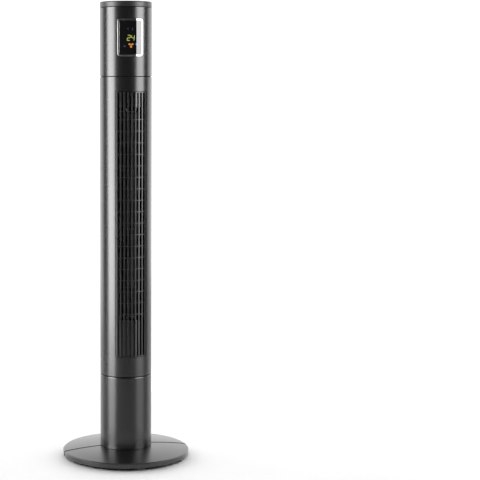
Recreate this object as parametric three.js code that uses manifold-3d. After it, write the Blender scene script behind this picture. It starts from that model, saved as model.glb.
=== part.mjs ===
// A tall oscillating tower fan: a round base in two halves, a short fixed column, and a tower that
// swings on top of it, with a cross-flow blower inside and a control head above.
//
// Millimetres, +Z up. The origin is the middle of the base on the floor, and the air outlet faces -Y.
import * as THREE from "three";
import { mergeVertices } from "three/addons/utils/BufferGeometryUtils.js";
import Module from "manifold-3d";

const wasm = await Module();
wasm.setup();

// --------------------------------------------------------------------------------------------------------
// Driving dimensions

// Cutting
const past = 5; // by which a cutting shape runs past what it cuts

// Gaps
const fitGap = 0.3; // between pieces that are fixed to each other
const slipGap = 0.5; // round and between pieces that turn
const splitGap = 0.8; // between the two halves of the base, and of the tower's shell

// Round body: column, tower and head share one outline
const bodyRadius = 66.5;
const bodyWall = 3;
const bodyFacets = 36;
const innerFacets = 24; // of round pieces that stay out of sight
const smallFacets = 8; // of screws, pegs and their holes
const shaftFacets = 12; // of shafts, bosses and their bores
const cornerFlats = 3; // of a rounded corner

// Base
const baseRadius = 164;
const baseRimBottom = 4;
const baseRimTop = 17;
const baseEdgeRound = 3;
const domePower = 1.6;
const baseCrown = 26; // height of the flat middle that carries the column
const baseWall = 3;
const baseHole = 24; // radius of the cable hole in the middle
const baseRibWidth = 2.5;
const baseRibDrop = 8; // how far a rib hangs under the top wall
const baseRibAngles = [22, 67, 113, 158, 202, 247, 293, 338];

// Feet
const footRadius = 9;
const footPegRadius = 3.2;
const footPegLength = 6;
const footInset = 1; // of a foot's edge inside the base's edge
const footAngles = [-46, 0, 46, 134, 180, 226]; // degrees from the front

// Screws
const screwRadius = 2;
const screwHeadRadius = 4;
const screwHeadHeight = 2.8;
const screwHeadRound = 1;
const screwSlotLength = 4.6;
const screwSlotWidth = 1;
const screwSlotDepth = 1.2;
const baseScrewLength = 13;
const baseScrewInset = 16; // from the body's inner wall to the middle of a screw
const shellScrewLength = 22;
const grilleScrewLength = 8;

// Column
const columnHeight = 188.3;
const columnFootThickness = 4;
const columnFootRim = 12;
const columnBossRadius = 5;
const columnBossHeight = 12;
const columnLedgeWidth = 4;
const columnLedgeHeight = 6;
const swivelDepth = 19.3; // from the column's top edge down to the ledge
const glandHeight = 34; // above the column's bottom edge
const glandBore = 3.6;
const glandWall = 2;
const glandFlange = 2.6;
const glandFlangeThickness = 2;
const glandLength = 14;

// Swivel between column and tower
const shadowGap = 3.4;
const swivelPlateThickness = 6;
const swivelHubRadius = 14;
const swivelHubBore = 10;
const hubFacets = 16;
const thrustRingInset = 2; // of the ring's edge from the column's inner wall
const thrustRingWall = 5;
const swivelTopThickness = 4;
const circlipHeight = 3.6;
const circlipGroove = 1.2;
const circlipWidth = 7;
const circlipHalf = 150; // degrees each way from +X that the open ring runs
const hubTail = 1.6; // hub left below the circlip's groove

// Oscillation gears
const gearModule = 1.4;
const sectorTeeth = 42; // of the full circle that the sector is cut from
const sectorKept = 12; // teeth that the sector has
const pinionTeeth = 12;
const gearBacklash = 0.14; // share of a module, off each flank
const toothRoot = 1.2; // modules below the pitch circle
const toothTip = 0.85; // modules above it
const toothRootShare = 0.36; // half of a tooth's width there, as a share of a tooth's step
const toothTipShare = 0.14;
const sectorHeight = 8;
const pinionShaftRadius = 2.5;
const pinionShaftGrip = 10; // length of shaft inside the motor
const oscMotorRadius = 14.5;
const oscMotorHeight = 18;
const oscEarLength = 42;
const oscEarWidth = 9;
const oscEarThickness = 2;

// Tower shell
const towerHeight = 764.4;
const outletHalfAngle = 39;
const outletBottom = 50.5; // from the tower's bottom edge
const outletTop = 35.9; // from its top edge
const closedBelow = 95.5; // height of the outlet's closed stretch at its bottom
const closedAbove = 41; // and at its top
const intakeHalfAngle = 42;
const shellBossRadius = 6.5;
const shellBossAside = 15; // from the body's inner side wall to the middle of a boss
const shellBossInset = 24; // from the tower's ends to the middle of a boss
const shellBossSeat = 12; // from the split to the screw's head

// Front grille
const grilleRecess = 0.8; // of the slats behind the shell's surface
const grilleDepth = 8;
const grilleFrameAngle = 4; // degrees that each side bar takes
const grilleEndBar = 3;
const backingSetBack = 4.5;
const backingThickness = 2.2;
const slatCount = 7;
const slatThickness = 2.2;
const slatDepth = 3.4;

// Finger guard: hoops across the outlet, close behind the slats
const hoopPitch = 28.75;
const hoopHeight = 1.8;
const guardDepth = 3;
const guardPostAngle = 2; // degrees that each post takes
const hoopSetBack = 0.4; // of a hoop's faces inside its posts' faces
const guardFlats = 6; // flat stretches that each hoop is made of

const grilleScrewDrop = 8; // from the outlet's top edge to the screw
const grillePostWidth = 8;
const grillePostDepth = 7;

// Rear grille
const intakeFlats = 3; // flat stretches that the curved grille is made of
const intakePitch = 18.2;
const intakeSlot = 13;
const intakeBorder = 4; // degrees of plain edge on each side
const intakeThickness = 2.6;

// Plates across the tower
const plateThickness = 4;
const plateSideNotch = 1.5; // degrees of room each side of the grille

// Blower
const blowerOffset = 4; // of its axis behind the tower's axis
const blowerRoom = 20; // between the blower and the body's inner wall
const bladeDepth = 9;
const bladeThickness = 1.5;
const bladeInset = 1.2; // of a blade's outer edge from the discs' rim
const bladeSweep = 16; // degrees from inner to outer edge
const bladeCount = 10;
const blowerSegments = 7;
const wheelFacets = 16;
const blowerDisc = 2;
const discLip = 2; // of the middle discs inside the blades
const blowerEndRoom = 10; // between the blower and the plates above and below
const blowerHubRadius = 9;
const blowerHubLength = 16;
const shaftRadius = 4;
const axleTail = 2; // axle above its bush

// Motor
const motorRoom = 22; // between the motor and the body's inner wall
const motorHeight = 46;
const motorBevel = 6;
const motorBossRadius = 15;
const motorBossHeight = 7;
const damperRadius = 6;
const damperWaist = 4;
const damperHeight = 13;
const damperInset = 9; // from the motor's edge to the middle of a damper
const damperCount = 3;
const motorShaftTail = 4;
const capacitorRadius = 8;
const capacitorHeight = 34;
const capacitorAngle = 214; // degrees anticlockwise from +X, seen from above
const capacitorRoom = 5.4; // between the capacitor and the body's inner wall

// Upper bearing
const bushWall = 3;
const bushHeight = 10;
const bearingRubberWall = 4.5;
const bearingRubberFlange = 3;

// Ducts
const ductWall = 2;
const tongueGap = 3; // between the tongue and the blower
const tongueAngles = [222, 208]; // where it passes the blower, round the blower's axis
const tongueShellAngle = 193; // where it meets the shell
const scrollSteps = 8;
const scrollStartGap = 4;
const scrollEndGap = 11;
const scrollStartAngle = 32;
const scrollEndAngle = -30;
const scrollShellAngle = 44; // where it meets the shell
const ductClearance = 1; // behind the front grille

// Head
const seamGroove = 1.6;
const headHeight = 172.2;
const headPlateDepth = 7; // reach of the joining ring into the tower, and into the head
const headPlateHole = 20;
const displayHeight = 92.7;
const displayHalfAngle = 31.7;
const displayFromTop = 76; // from the head's top edge to the middle of the display
const displayCorner = 9;
const bezelBorder = 6.2;
const bezelProud = 0.9;
const boardThickness = 1.6;
const digitModule = [34, 58]; // width and height
const displayBoardSetBack = 17; // from the body's surface
const displayBoardHeight = 80;

// Top cap and controls
const capGroove = 1.2;
const capHeight = 13.6;
const capInset = 0.7;
const capChamfer = 1.6;
const capSpigot = 7;
const capBorder = 14.3; // of the cap's top round the control panel
const panelLedge = 4;
const panelLedgeThickness = 2;
const panelThickness = 2;
const panelRecess = 0.4;
const keyNames = ["power", "speed", "timer", "swing"];
const keyRadius = 6.2;
const keyFacets = 12;
const keyProud = 0.8;
const keyFlange = 1.6;
const keyFlangeThickness = 1.4;
const keyStemRadius = 3;
const keyStemLength = 6;
const keyTravel = 0.8;
const keyInset = 19; // from the panel's edge to the middle of a key
const keyGap = 2.5; // between the flanges of two neighbours
const switchRadius = 3;
const switchHeight = 4;

// Carrying grip, let into the back of the head
const gripWidth = 84;
const gripHeight = 30;
const gripDepth = 22;
const gripWall = 2;
const gripFromTop = 60;

// Wiring
const harnessRadius = 3;
const harnessSides = 6;
const harnessAside = 21; // degrees round from the duct's tongue
const harnessWallGap = 2.4;
const harnessTail = 20; // below the motor's plate
const harnessTension = 0.2;
const harnessBend = 18; // climb between the points of its bend into the middle
const harnessSteps = 36;
const harnessRoom = 1; // round the harness where it passes a plate

// --------------------------------------------------------------------------------------------------------
// Places worked out from those dimensions

const bodyInner = bodyRadius - bodyWall;
const insertRadius = bodyInner - fitGap; // of what fits inside the body
const baseScrewCircle = bodyInner - baseScrewInset;
const front = -90; // direction of the air outlet, in degrees anticlockwise from +X
const rear = 90;

const columnBottom = baseCrown + fitGap;
const columnTop = columnBottom + columnHeight;
const ledgeTop = columnTop - swivelDepth;
const swivelPlateBottom = ledgeTop + fitGap;
const swivelPlateTop = swivelPlateBottom + swivelPlateThickness;
const gearBottom = swivelPlateTop + fitGap;
const thrustRingRadius = bodyInner - thrustRingInset;

const towerBottom = columnTop + shadowGap;
const towerTop = towerBottom + towerHeight;
const swivelTopBottom = towerBottom + fitGap;
const swivelTopTop = swivelTopBottom + swivelTopThickness;
const grooveTop = swivelPlateBottom - slipGap + fitGap;
const grooveBottom = grooveTop - circlipHeight - 2 * fitGap;
const hubBottom = grooveBottom - hubTail;

const outletLow = towerBottom + outletBottom;
const outletHigh = towerTop - outletTop;
const openLow = outletLow + closedBelow;
const openHigh = outletHigh - closedAbove;
const grilleOuter = bodyRadius - grilleRecess;
const grilleInner = grilleOuter - grilleDepth;
const backingOuter = grilleOuter - backingSetBack;
const backingInner = backingOuter - backingThickness;
const guardOuter = grilleOuter - slatDepth - fitGap;
const guardInner = guardOuter - guardDepth;

const motorPlateTop = openLow - plateThickness;
const motorPlateBottom = motorPlateTop - plateThickness;
const bearingPlateBottom = openHigh;
const bearingPlateTop = bearingPlateBottom + plateThickness;

const blowerRadius = bodyInner - blowerRoom;
const blowerBottom = motorPlateTop + blowerEndRoom;
const blowerTop = bearingPlateBottom - blowerEndRoom;
const segmentLength = (blowerTop - blowerBottom - blowerDisc) / blowerSegments;

const motorRadius = bodyInner - motorRoom;
const damperCircle = motorRadius - damperInset;
const damperTop = motorPlateBottom - fitGap;
const motorTop = damperTop - damperHeight - fitGap;
const motorBottom = motorTop - motorHeight;

const headBottom = towerTop + seamGroove;
const headTop = headBottom + headHeight;
const capBottom = headTop + capGroove;
const capTop = capBottom + capHeight;
const capRadius = bodyRadius - capInset;
const panelRadius = capRadius - capBorder;
const panelTop = capTop - panelRecess;
const panelBottom = panelTop - panelThickness;
const keyCircle = panelRadius - keyInset;
const keyBottom = panelBottom - fitGap - keyFlangeThickness - keyStemLength;
const controlBoardTop = keyBottom - keyTravel - fitGap - switchHeight;
const controlBoardRadius = insertRadius - bodyWall - fitGap;
const displayMiddle = headTop - displayFromTop;
const displayBoardPlane = bodyRadius - displayBoardSetBack;

const sectorPitchRadius = (gearModule * sectorTeeth) / 2;
const pinionPitchRadius = (gearModule * pinionTeeth) / 2;
const gearDistance = sectorPitchRadius + pinionPitchRadius;

// --------------------------------------------------------------------------------------------------------
// Shape helpers. Angles are in degrees, anticlockwise from +X seen from above.

const radians = THREE.MathUtils.degToRad;

function onCircle(radius, angle) {
  return [radius * Math.cos(radians(angle)), radius * Math.sin(radians(angle))];
}

// Points on a circle, from one angle to another, both included.
function arc(radius, from, to, steps = Math.ceil((Math.abs(to - from) / 360) * bodyFacets)) {
  return Array.from({ length: steps + 1 }, (_, i) => {
    return new THREE.Vector2(...onCircle(radius, from + ((to - from) * i) / steps));
  });
}

// A closed outline standing up from one height to another.
function prism(points, low, high) {
  const settings = { depth: high - low, bevelEnabled: false };
  return new THREE.ExtrudeGeometry(new THREE.Shape(points), settings).translate(0, 0, low);
}

// Part of a tube's wall, between two radii and two angles.
function wallPart(inner, outer, from, to, low, high, steps) {
  return prism([...arc(outer, from, to, steps), ...arc(inner, to, from, steps)], low, high);
}

function cylinder(radius, low, high, sides = 24) {
  const geometry = new THREE.CylinderGeometry(radius, radius, high - low, sides);
  return geometry.rotateX(Math.PI / 2).translate(0, 0, (low + high) / 2);
}

// A cylinder that lies along Y.
function crossBar(radius, from, to, sides = 16) {
  const geometry = new THREE.CylinderGeometry(radius, radius, to - from, sides);
  return geometry.translate(0, (from + to) / 2, 0);
}

function box(width, depth, height) {
  return new THREE.BoxGeometry(width, depth, height);
}

// A closed outline of [radius, height] pairs turned about Z.
function revolve(profile, facets = bodyFacets) {
  const points = profile.map(([radius, height]) => new THREE.Vector2(radius, height));
  if (profile[0][0] > 0) points.push(points[0].clone());
  return new THREE.LatheGeometry(points, facets).rotateX(Math.PI / 2);
}

// A ring with a rectangular section.
function ring(inner, outer, low, high, facets = bodyFacets) {
  return revolve([[inner, low], [outer, low], [outer, high], [inner, high]], facets);
}

// A rectangle with round corners, upright in the XZ plane and standing along Y.
function roundedBlock(width, height, corner, from, to) {
  const shape = new THREE.Shape();
  const [x, y] = [width / 2 - corner, height / 2 - corner];
  shape.absarc(x, y, corner, 0, Math.PI / 2);
  shape.absarc(-x, y, corner, Math.PI / 2, Math.PI);
  shape.absarc(-x, -y, corner, Math.PI, 1.5 * Math.PI);
  shape.absarc(x, -y, corner, 1.5 * Math.PI, 2 * Math.PI);
  const settings = { depth: to - from, bevelEnabled: false, curveSegments: cornerFlats };
  return new THREE.ExtrudeGeometry(shape, settings).rotateX(Math.PI / 2).translate(0, to, 0);
}

// A strip of one thickness along a line of points, standing up from one height to another.
function ribbon(points, thickness, low, high) {
  const sides = [[], []];
  points.forEach((point, i) => {
    const before = points[Math.max(i - 1, 0)];
    const after = points[Math.min(i + 1, points.length - 1)];
    const along = after.clone().sub(before).normalize();
    const across = new THREE.Vector2(-along.y, along.x).multiplyScalar(thickness / 2);
    sides[0].push(point.clone().add(across));
    sides[1].unshift(point.clone().sub(across));
  });
  return prism([...sides[0], ...sides[1]], low, high);
}

// A closed geometry as a solid with its faces pointing out.
function toSolid(geometry) {
  const bare = new THREE.BufferGeometry().setAttribute("position", geometry.getAttribute("position"));
  bare.setIndex(geometry.index);
  const merged = mergeVertices(bare, 1e-4);
  const triVerts = new Uint32Array(merged.index.array);
  const vertProperties = new Float32Array(merged.attributes.position.array);
  const solid = new wasm.Manifold(new wasm.Mesh({ numProp: 3, vertProperties, triVerts }));
  if (solid.volume() > 0) return solid;
  for (let i = 0; i < triVerts.length; i += 3) {
    [triVerts[i], triVerts[i + 1]] = [triVerts[i + 1], triVerts[i]];
  }
  return new wasm.Manifold(new wasm.Mesh({ numProp: 3, vertProperties, triVerts }));
}

function fromSolid(solid) {
  const mesh = solid.getMesh();
  const geometry = new THREE.BufferGeometry();
  geometry.setAttribute("position", new THREE.BufferAttribute(new Float32Array(mesh.vertProperties), 3));
  geometry.setIndex(new THREE.BufferAttribute(new Uint32Array(mesh.triVerts), 1));
  geometry.computeVertexNormals();
  return geometry;
}

function join(...shapes) {
  return fromSolid(shapes.map(toSolid).reduce((whole, solid) => whole.add(solid)));
}

function cut(shape, ...tools) {
  return fromSolid(tools.map(toSolid).reduce((whole, solid) => whole.subtract(solid), toSolid(shape)));
}

function overlap(shape, region) {
  return fromSolid(toSolid(shape).intersect(toSolid(region)));
}

// --------------------------------------------------------------------------------------------------------
// Materials

function material(colour, roughness, metalness = 0) {
  return new THREE.MeshStandardMaterial({ color: colour, roughness, metalness });
}

const housing = material(0x2b2b2d, 0.25);
const basePlastic = material(0x333335, 0.4);
const grillePlastic = material(0x1b1b1d, 0.4);
const innerPlastic = material(0x161617, 0.6);
const chrome = material(0xd8d8da, 0.1, 1);
const glassBlack = material(0x08080a, 0.05);
const rubber = material(0x121212, 0.9);
const steel = material(0xa9abae, 0.35, 1);
const blackSteel = material(0x202023, 0.45, 0.8);
const paintedSteel = material(0x5d6064, 0.5, 0.6);
const bronze = material(0xa9773a, 0.4, 1);
const whitePlastic = material(0xe6e4dc, 0.5);
const boardGreen = material(0x1f5a34, 0.6);
const cableGrey = material(0x2c2c2e, 0.7);

function piece(name, geometry, finish, position = [0, 0, 0]) {
  const mesh = new THREE.Mesh(fromSolid(toSolid(geometry)), finish);
  mesh.name = name;
  mesh.position.set(...position);
  return mesh;
}

function group(...members) {
  return new THREE.Group().add(...members);
}

// --------------------------------------------------------------------------------------------------------
// Base

const baseEdge = baseRadius - baseEdgeRound; // where the dome ends
const footCircle = baseRadius - footRadius - footInset;
const footTop = baseRimBottom + footPegLength;

const baseUnderside = baseCrown - baseWall;
const baseRibBottom = baseUnderside - baseRibDrop;

// The dome's line from the column to the edge as [radius, height] pairs, lowered by some depth. It
// falls slowly at first and faster towards the edge.
function domeLine(depth) {
  return [0, 0.5, 1].map((share) => {
    const radius = bodyRadius + (baseEdge - bodyRadius) * share;
    const height = baseCrown - (baseCrown - baseRimTop) * share ** domePower;
    return [Math.min(radius, baseEdge - depth), height - depth];
  });
}

function baseShell() {
  return revolve([
    [baseHole, baseCrown],
    ...domeLine(0),
    [baseRadius, baseRimTop - baseEdgeRound],
    [baseRadius, baseRimBottom],
    [baseRadius - baseWall, baseRimBottom],
    ...domeLine(baseWall).reverse(),
    [baseHole + baseWall, baseUnderside],
    [baseHole + baseWall, baseRibBottom],
    [baseHole, baseRibBottom],
  ]);
}

// Fills the space under the dome up to the middle of its wall, for trimming ribs and bosses.
function baseEnvelope() {
  return revolve([
    [0, baseRimBottom],
    [baseRadius - baseWall / 2, baseRimBottom],
    ...domeLine(baseWall / 2).reverse(),
    [0, baseCrown - baseWall / 2],
  ]);
}

function baseRib(angle) {
  const length = baseEdge - baseHole;
  const rib = box(length, baseRibWidth, baseCrown - baseRibBottom);
  rib.translate(baseHole + baseWall / 2 + length / 2, 0, (baseRibBottom + baseCrown) / 2);
  return rib.rotateZ(radians(angle));
}

const screwAngles = [45, 135, 225, 315];

function wholeBase() {
  const ribs = baseRibAngles.map(baseRib);
  const bosses = footAngles.map((angle) => {
    const boss = cylinder(footRadius, baseRimBottom, baseCrown, shaftFacets);
    return boss.translate(...onCircle(footCircle, front + angle), 0);
  });
  const inside = overlap(join(...ribs, ...bosses), baseEnvelope());
  const pegHoles = footAngles.map((angle) => {
    const hole = cylinder(footPegRadius + fitGap, 0, footTop + fitGap, shaftFacets);
    return hole.translate(...onCircle(footCircle, front + angle), 0);
  });
  const screwHoles = screwAngles.map((angle) => {
    const hole = cylinder(screwRadius + fitGap, baseRimBottom, baseCrown + past, smallFacets);
    return hole.translate(...onCircle(baseScrewCircle, angle), 0);
  });
  return cut(join(baseShell(), inside), ...pegHoles, ...screwHoles);
}

function foot() {
  const pad = baseRimBottom - fitGap;
  return revolve([
    [0, 0],
    [footRadius, 0],
    [footRadius, pad],
    [footPegRadius, pad],
    [footPegRadius, footTop],
    [0, footTop],
  ], shaftFacets);
}

// A pan-head screw that points along +Z, with its head's underside at the origin.
function screw(length) {
  const body = revolve([
    [0, -screwHeadHeight],
    [screwHeadRadius - screwHeadRound, -screwHeadHeight],
    [screwHeadRadius, screwHeadRound - screwHeadHeight],
    [screwHeadRadius, 0],
    [screwRadius, 0],
    [screwRadius, length],
    [0, length],
  ], smallFacets);
  const slot = box(screwSlotLength, screwSlotWidth, 2 * screwSlotDepth);
  return cut(body, slot.translate(0, 0, -screwHeadHeight));
}

function base() {
  const whole = wholeBase();
  const reach = 2 * (baseRadius + past);
  const half = (side) => box(reach, reach, reach).translate(0, (side * (reach + splitGap)) / 2, 0);
  const feet = footAngles.map((angle, i) =>
    piece(`foot_${i + 1}`, foot(), rubber, [...onCircle(footCircle, front + angle), 0]),
  );
  const screws = screwAngles.map((angle, i) => {
    const place = [...onCircle(baseScrewCircle, angle), baseUnderside - fitGap];
    return piece(`base_screw_${i + 1}`, screw(baseScrewLength), steel, place);
  });
  return group(
    piece("base_front_half", overlap(whole, half(-1)), basePlastic),
    piece("base_rear_half", overlap(whole, half(1)), basePlastic),
    ...feet,
    ...screws,
  );
}

// --------------------------------------------------------------------------------------------------------
// Column

function columnTube() {
  const tube = revolve([
    [bodyInner, columnBottom],
    [bodyRadius, columnBottom],
    [bodyRadius, columnTop],
    [bodyInner, columnTop],
    [bodyInner, ledgeTop],
    [bodyInner - columnLedgeWidth, ledgeTop],
    [bodyInner, ledgeTop - columnLedgeHeight],
  ]);
  const outlet = crossBar(glandBore + glandWall + fitGap, 0, bodyRadius + past);
  return cut(tube, outlet.translate(0, 0, columnBottom + glandHeight));
}

function columnFoot() {
  const low = columnBottom;
  const floor = low + columnFootThickness;
  const cup = revolve([
    [baseHole, low],
    [insertRadius, low],
    [insertRadius, low + columnFootRim],
    [insertRadius - bodyWall, low + columnFootRim],
    [insertRadius - bodyWall, floor],
    [baseHole, floor],
  ], innerFacets);
  const depth = baseScrewLength - baseWall + fitGap;
  const bosses = screwAngles.map((angle) => {
    const boss = cylinder(columnBossRadius, low, floor + columnBossHeight, shaftFacets);
    return boss.translate(...onCircle(baseScrewCircle, angle), 0);
  });
  const holes = screwAngles.map((angle) => {
    const hole = cylinder(screwRadius + fitGap, low - past, low + depth, smallFacets);
    return hole.translate(...onCircle(baseScrewCircle, angle), 0);
  });
  return cut(join(cup, ...bosses), ...holes);
}

// The bush that a mains lead leaves through, lying along Y with its flange outside the column.
function cordGland() {
  const outside = bodyRadius + fitGap;
  const end = outside + glandFlangeThickness;
  const sleeve = crossBar(glandBore + glandWall, outside - glandLength, end);
  const flange = crossBar(glandBore + glandWall + glandFlange, outside, end);
  const bore = crossBar(glandBore, outside - glandLength - past, end + past);
  return cut(join(sleeve, flange), bore);
}

function column() {
  return group(
    piece("column_tube", columnTube(), housing),
    piece("column_foot", columnFoot(), innerPlastic),
    piece("cord_gland", cordGland(), rubber, [0, 0, columnBottom + glandHeight]),
  );
}

// --------------------------------------------------------------------------------------------------------
// Swivel

// One gear's outline: a run of teeth round a circle, counted in steps from the middle angle.
function gearOutline(teeth, first, count, middle) {
  const pitch = (gearModule * teeth) / 2;
  const step = 360 / teeth;
  const flank = (share) => step * share - THREE.MathUtils.radToDeg((gearBacklash * gearModule) / pitch);
  const corners = [
    [pitch - toothRoot * gearModule, -flank(toothRootShare)],
    [pitch + toothTip * gearModule, -flank(toothTipShare)],
    [pitch + toothTip * gearModule, flank(toothTipShare)],
    [pitch - toothRoot * gearModule, flank(toothRootShare)],
  ];
  const points = [];
  for (let tooth = 0; tooth < count; tooth += 1) {
    const centre = middle + step * (first + tooth);
    const corner = ([radius, offset]) => new THREE.Vector2(...onCircle(radius, centre + offset));
    points.push(...corners.map(corner));
  }
  return points;
}

// An even count of teeth leaves a space in the middle, where a tooth of the pinion sits at rest.
function gearSector() {
  const first = -(sectorKept - 1) / 2;
  const outer = gearOutline(sectorTeeth, first, sectorKept, rear);
  const half = (180 / sectorTeeth) * sectorKept;
  const inner = arc(swivelHubRadius + 2 * slipGap, rear + half, rear - half);
  return prism([...outer, ...inner], gearBottom, gearBottom + sectorHeight);
}

function pinion() {
  const low = gearBottom + slipGap;
  const teeth = prism(gearOutline(pinionTeeth, 0, pinionTeeth, front), low, gearBottom + sectorHeight);
  return join(teeth, cylinder(pinionShaftRadius, low, swivelTopTop + pinionShaftGrip, shaftFacets));
}

function swivelBasePlate() {
  return ring(swivelHubRadius + slipGap, insertRadius, swivelPlateBottom, swivelPlateTop, innerFacets);
}

function swivelTopPlate() {
  const hub = revolve([
    [swivelHubBore, hubBottom],
    [swivelHubRadius, hubBottom],
    [swivelHubRadius, grooveBottom],
    [swivelHubRadius - circlipGroove, grooveBottom],
    [swivelHubRadius - circlipGroove, grooveTop],
    [swivelHubRadius, grooveTop],
    [swivelHubRadius, swivelTopTop],
    [swivelHubBore, swivelTopTop],
  ], hubFacets);
  const hubMiddle = (swivelHubBore + swivelHubRadius - circlipGroove) / 2;
  const plate = ring(hubMiddle, insertRadius, swivelTopBottom, swivelTopTop, innerFacets);
  const shaftHole = cylinder(pinionShaftRadius + slipGap, hubBottom, swivelTopTop + past, shaftFacets);
  return cut(join(hub, plate), shaftHole.translate(0, gearDistance, 0));
}

// The tower's weight stands on this ring, which keeps the top plate clear of the gears.
function thrustRing() {
  const inner = thrustRingRadius - thrustRingWall;
  return ring(inner, thrustRingRadius, gearBottom, swivelTopBottom - slipGap, innerFacets);
}

function circlip() {
  const inner = swivelHubRadius - circlipGroove + fitGap;
  const low = grooveBottom + fitGap;
  return wallPart(inner, inner + circlipWidth, -circlipHalf, circlipHalf, low, low + circlipHeight);
}

function oscillationMotor() {
  const low = swivelTopTop + fitGap;
  const shaftTop = swivelTopTop + pinionShaftGrip + slipGap;
  const can = cylinder(oscMotorRadius, low, low + oscMotorHeight);
  const ears = box(oscEarLength, oscEarWidth, oscEarThickness);
  const bore = cylinder(pinionShaftRadius + slipGap, low - past, shaftTop, shaftFacets);
  return cut(join(can, ears.translate(0, 0, low + oscEarThickness / 2)), bore);
}

function swivelFixed() {
  return group(
    piece("swivel_base_plate", swivelBasePlate(), innerPlastic),
    piece("swivel_gear_sector", gearSector(), whitePlastic),
    piece("swivel_thrust_ring", thrustRing(), innerPlastic),
  );
}

function swivelTurning() {
  return group(
    piece("swivel_top_plate", swivelTopPlate(), innerPlastic),
    piece("swivel_circlip", circlip(), steel),
    piece("oscillation_motor", oscillationMotor(), paintedSteel, [0, gearDistance, 0]),
    piece("oscillation_pinion", pinion(), whitePlastic, [0, gearDistance, 0]),
  );
}

// --------------------------------------------------------------------------------------------------------
// Tower shell and grilles

const bossHeights = [towerBottom + shellBossInset, towerTop - shellBossInset];
const bossAcross = bodyInner - shellBossAside;
const bossPlaces = [-1, 1].flatMap((side) => bossHeights.map((height) => [side * bossAcross, height]));

// One half of the shell: side is -1 for the front and 1 for the rear.
function halfShell(side) {
  const middle = side < 0 ? front : rear;
  const splitAngle = THREE.MathUtils.radToDeg(splitGap / 2 / bodyRadius);
  const from = middle - 90 + splitAngle;
  const to = middle + 90 - splitAngle;
  const wall = wallPart(bodyInner, bodyRadius, from, to, towerBottom, towerTop);
  const wallMiddle = bodyInner + bodyWall / 2;
  const bosses = bossPlaces.map(([x, z]) => {
    const ends = [(side * splitGap) / 2, side * wallMiddle].sort((a, b) => a - b);
    return crossBar(shellBossRadius, ...ends, smallFacets).translate(x, 0, z);
  });
  const inside = cylinder(wallMiddle, towerBottom, towerTop, bodyFacets);
  return join(wall, overlap(join(...bosses), inside));
}

// Cuts a window through the body's wall.
function wallWindow(middle, halfAngle, low, high) {
  return wallPart(bodyInner - past, bodyRadius + past, middle - halfAngle, middle + halfAngle, low, high);
}

function frontShell() {
  const depth = shellScrewLength - shellBossSeat;
  const screwHoles = bossPlaces.map(([x, z]) =>
    crossBar(screwRadius + fitGap, -depth, past, smallFacets).translate(x, 0, z),
  );
  return cut(halfShell(-1), wallWindow(front, outletHalfAngle, outletLow, outletHigh), ...screwHoles);
}

function rearShell() {
  const screwHoles = bossPlaces.flatMap(([x, z]) => [
    crossBar(screwRadius + fitGap, -past, shellBossSeat + past, smallFacets).translate(x, 0, z),
    crossBar(screwHeadRadius + fitGap, shellBossSeat, bodyRadius, shaftFacets).translate(x, 0, z),
  ]);
  return cut(halfShell(1), wallWindow(rear, intakeHalfAngle, openLow, openHigh), ...screwHoles);
}

const gapAngle = THREE.MathUtils.radToDeg(fitGap / bodyInner);
const grilleHalfAngle = outletHalfAngle - gapAngle;
const slatAngle = grilleHalfAngle - grilleFrameAngle / 2;
const slatWidthAngle = THREE.MathUtils.radToDeg(slatThickness / grilleOuter);
const slatPitch = (2 * (grilleHalfAngle - grilleFrameAngle) + slatWidthAngle) / (slatCount + 1);
const grilleLow = outletLow + fitGap;
const grilleHigh = outletHigh - fitGap;
const grilleScrewHeight = outletHigh - grilleScrewDrop;

function frontArc(inner, outer, halfAngle, low, high, steps) {
  return wallPart(inner, outer, front - halfAngle, front + halfAngle, low, high, steps);
}

function frontGrille() {
  const sideBar = (side) => {
    const edge = front + side * grilleHalfAngle;
    const angles = [edge, edge - side * grilleFrameAngle].sort((a, b) => a - b);
    return wallPart(grilleInner, grilleOuter, ...angles, grilleLow, grilleHigh, 1);
  };
  const slats = Array.from({ length: slatCount }, (_, i) => {
    const angle = slatPitch * (i - (slatCount - 1) / 2);
    const slat = box(slatThickness, slatDepth, grilleHigh - grilleLow);
    slat.translate(0, slatDepth / 2 - grilleOuter, (grilleLow + grilleHigh) / 2);
    return slat.rotateZ(radians(angle));
  });
  const sheet = (outer, low, high) => frontArc(backingInner, outer, slatAngle, low, high, slatCount + 1);
  const body = join(
    sideBar(-1),
    sideBar(1),
    sheet(backingOuter, grilleLow, openLow),
    sheet(backingOuter, openHigh, grilleHigh),
    sheet(grilleOuter, grilleLow, grilleLow + grilleEndBar),
    sheet(grilleOuter, grilleHigh - grilleEndBar, grilleHigh),
    ...slats,
  );
  const hole = crossBar(screwRadius + fitGap, -bodyRadius, 0, smallFacets);
  const seat = -backingOuter - fitGap;
  const counterbore = crossBar(screwHeadRadius + fitGap, -bodyRadius - past, seat, shaftFacets);
  return cut(body, join(hole, counterbore).translate(0, 0, grilleScrewHeight));
}

function fingerGuard() {
  const half = grilleHalfAngle - grilleFrameAngle - 2 * gapAngle;
  const [low, high] = [openLow + fitGap, openHigh - fitGap];
  const posts = [-half, half - guardPostAngle].map((from) =>
    wallPart(guardInner, guardOuter, front + from, front + from + guardPostAngle, low, high, 1),
  );
  const [inner, outer] = [guardInner + hoopSetBack, guardOuter - hoopSetBack];
  const reach = half - guardPostAngle / 2;
  const hoops = [];
  for (let top = openHigh - hoopPitch; top > openLow + hoopPitch / 3; top -= hoopPitch) {
    hoops.push(frontArc(inner, outer, reach, top - hoopHeight, top, guardFlats));
  }
  return join(...posts, ...hoops);
}

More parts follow.
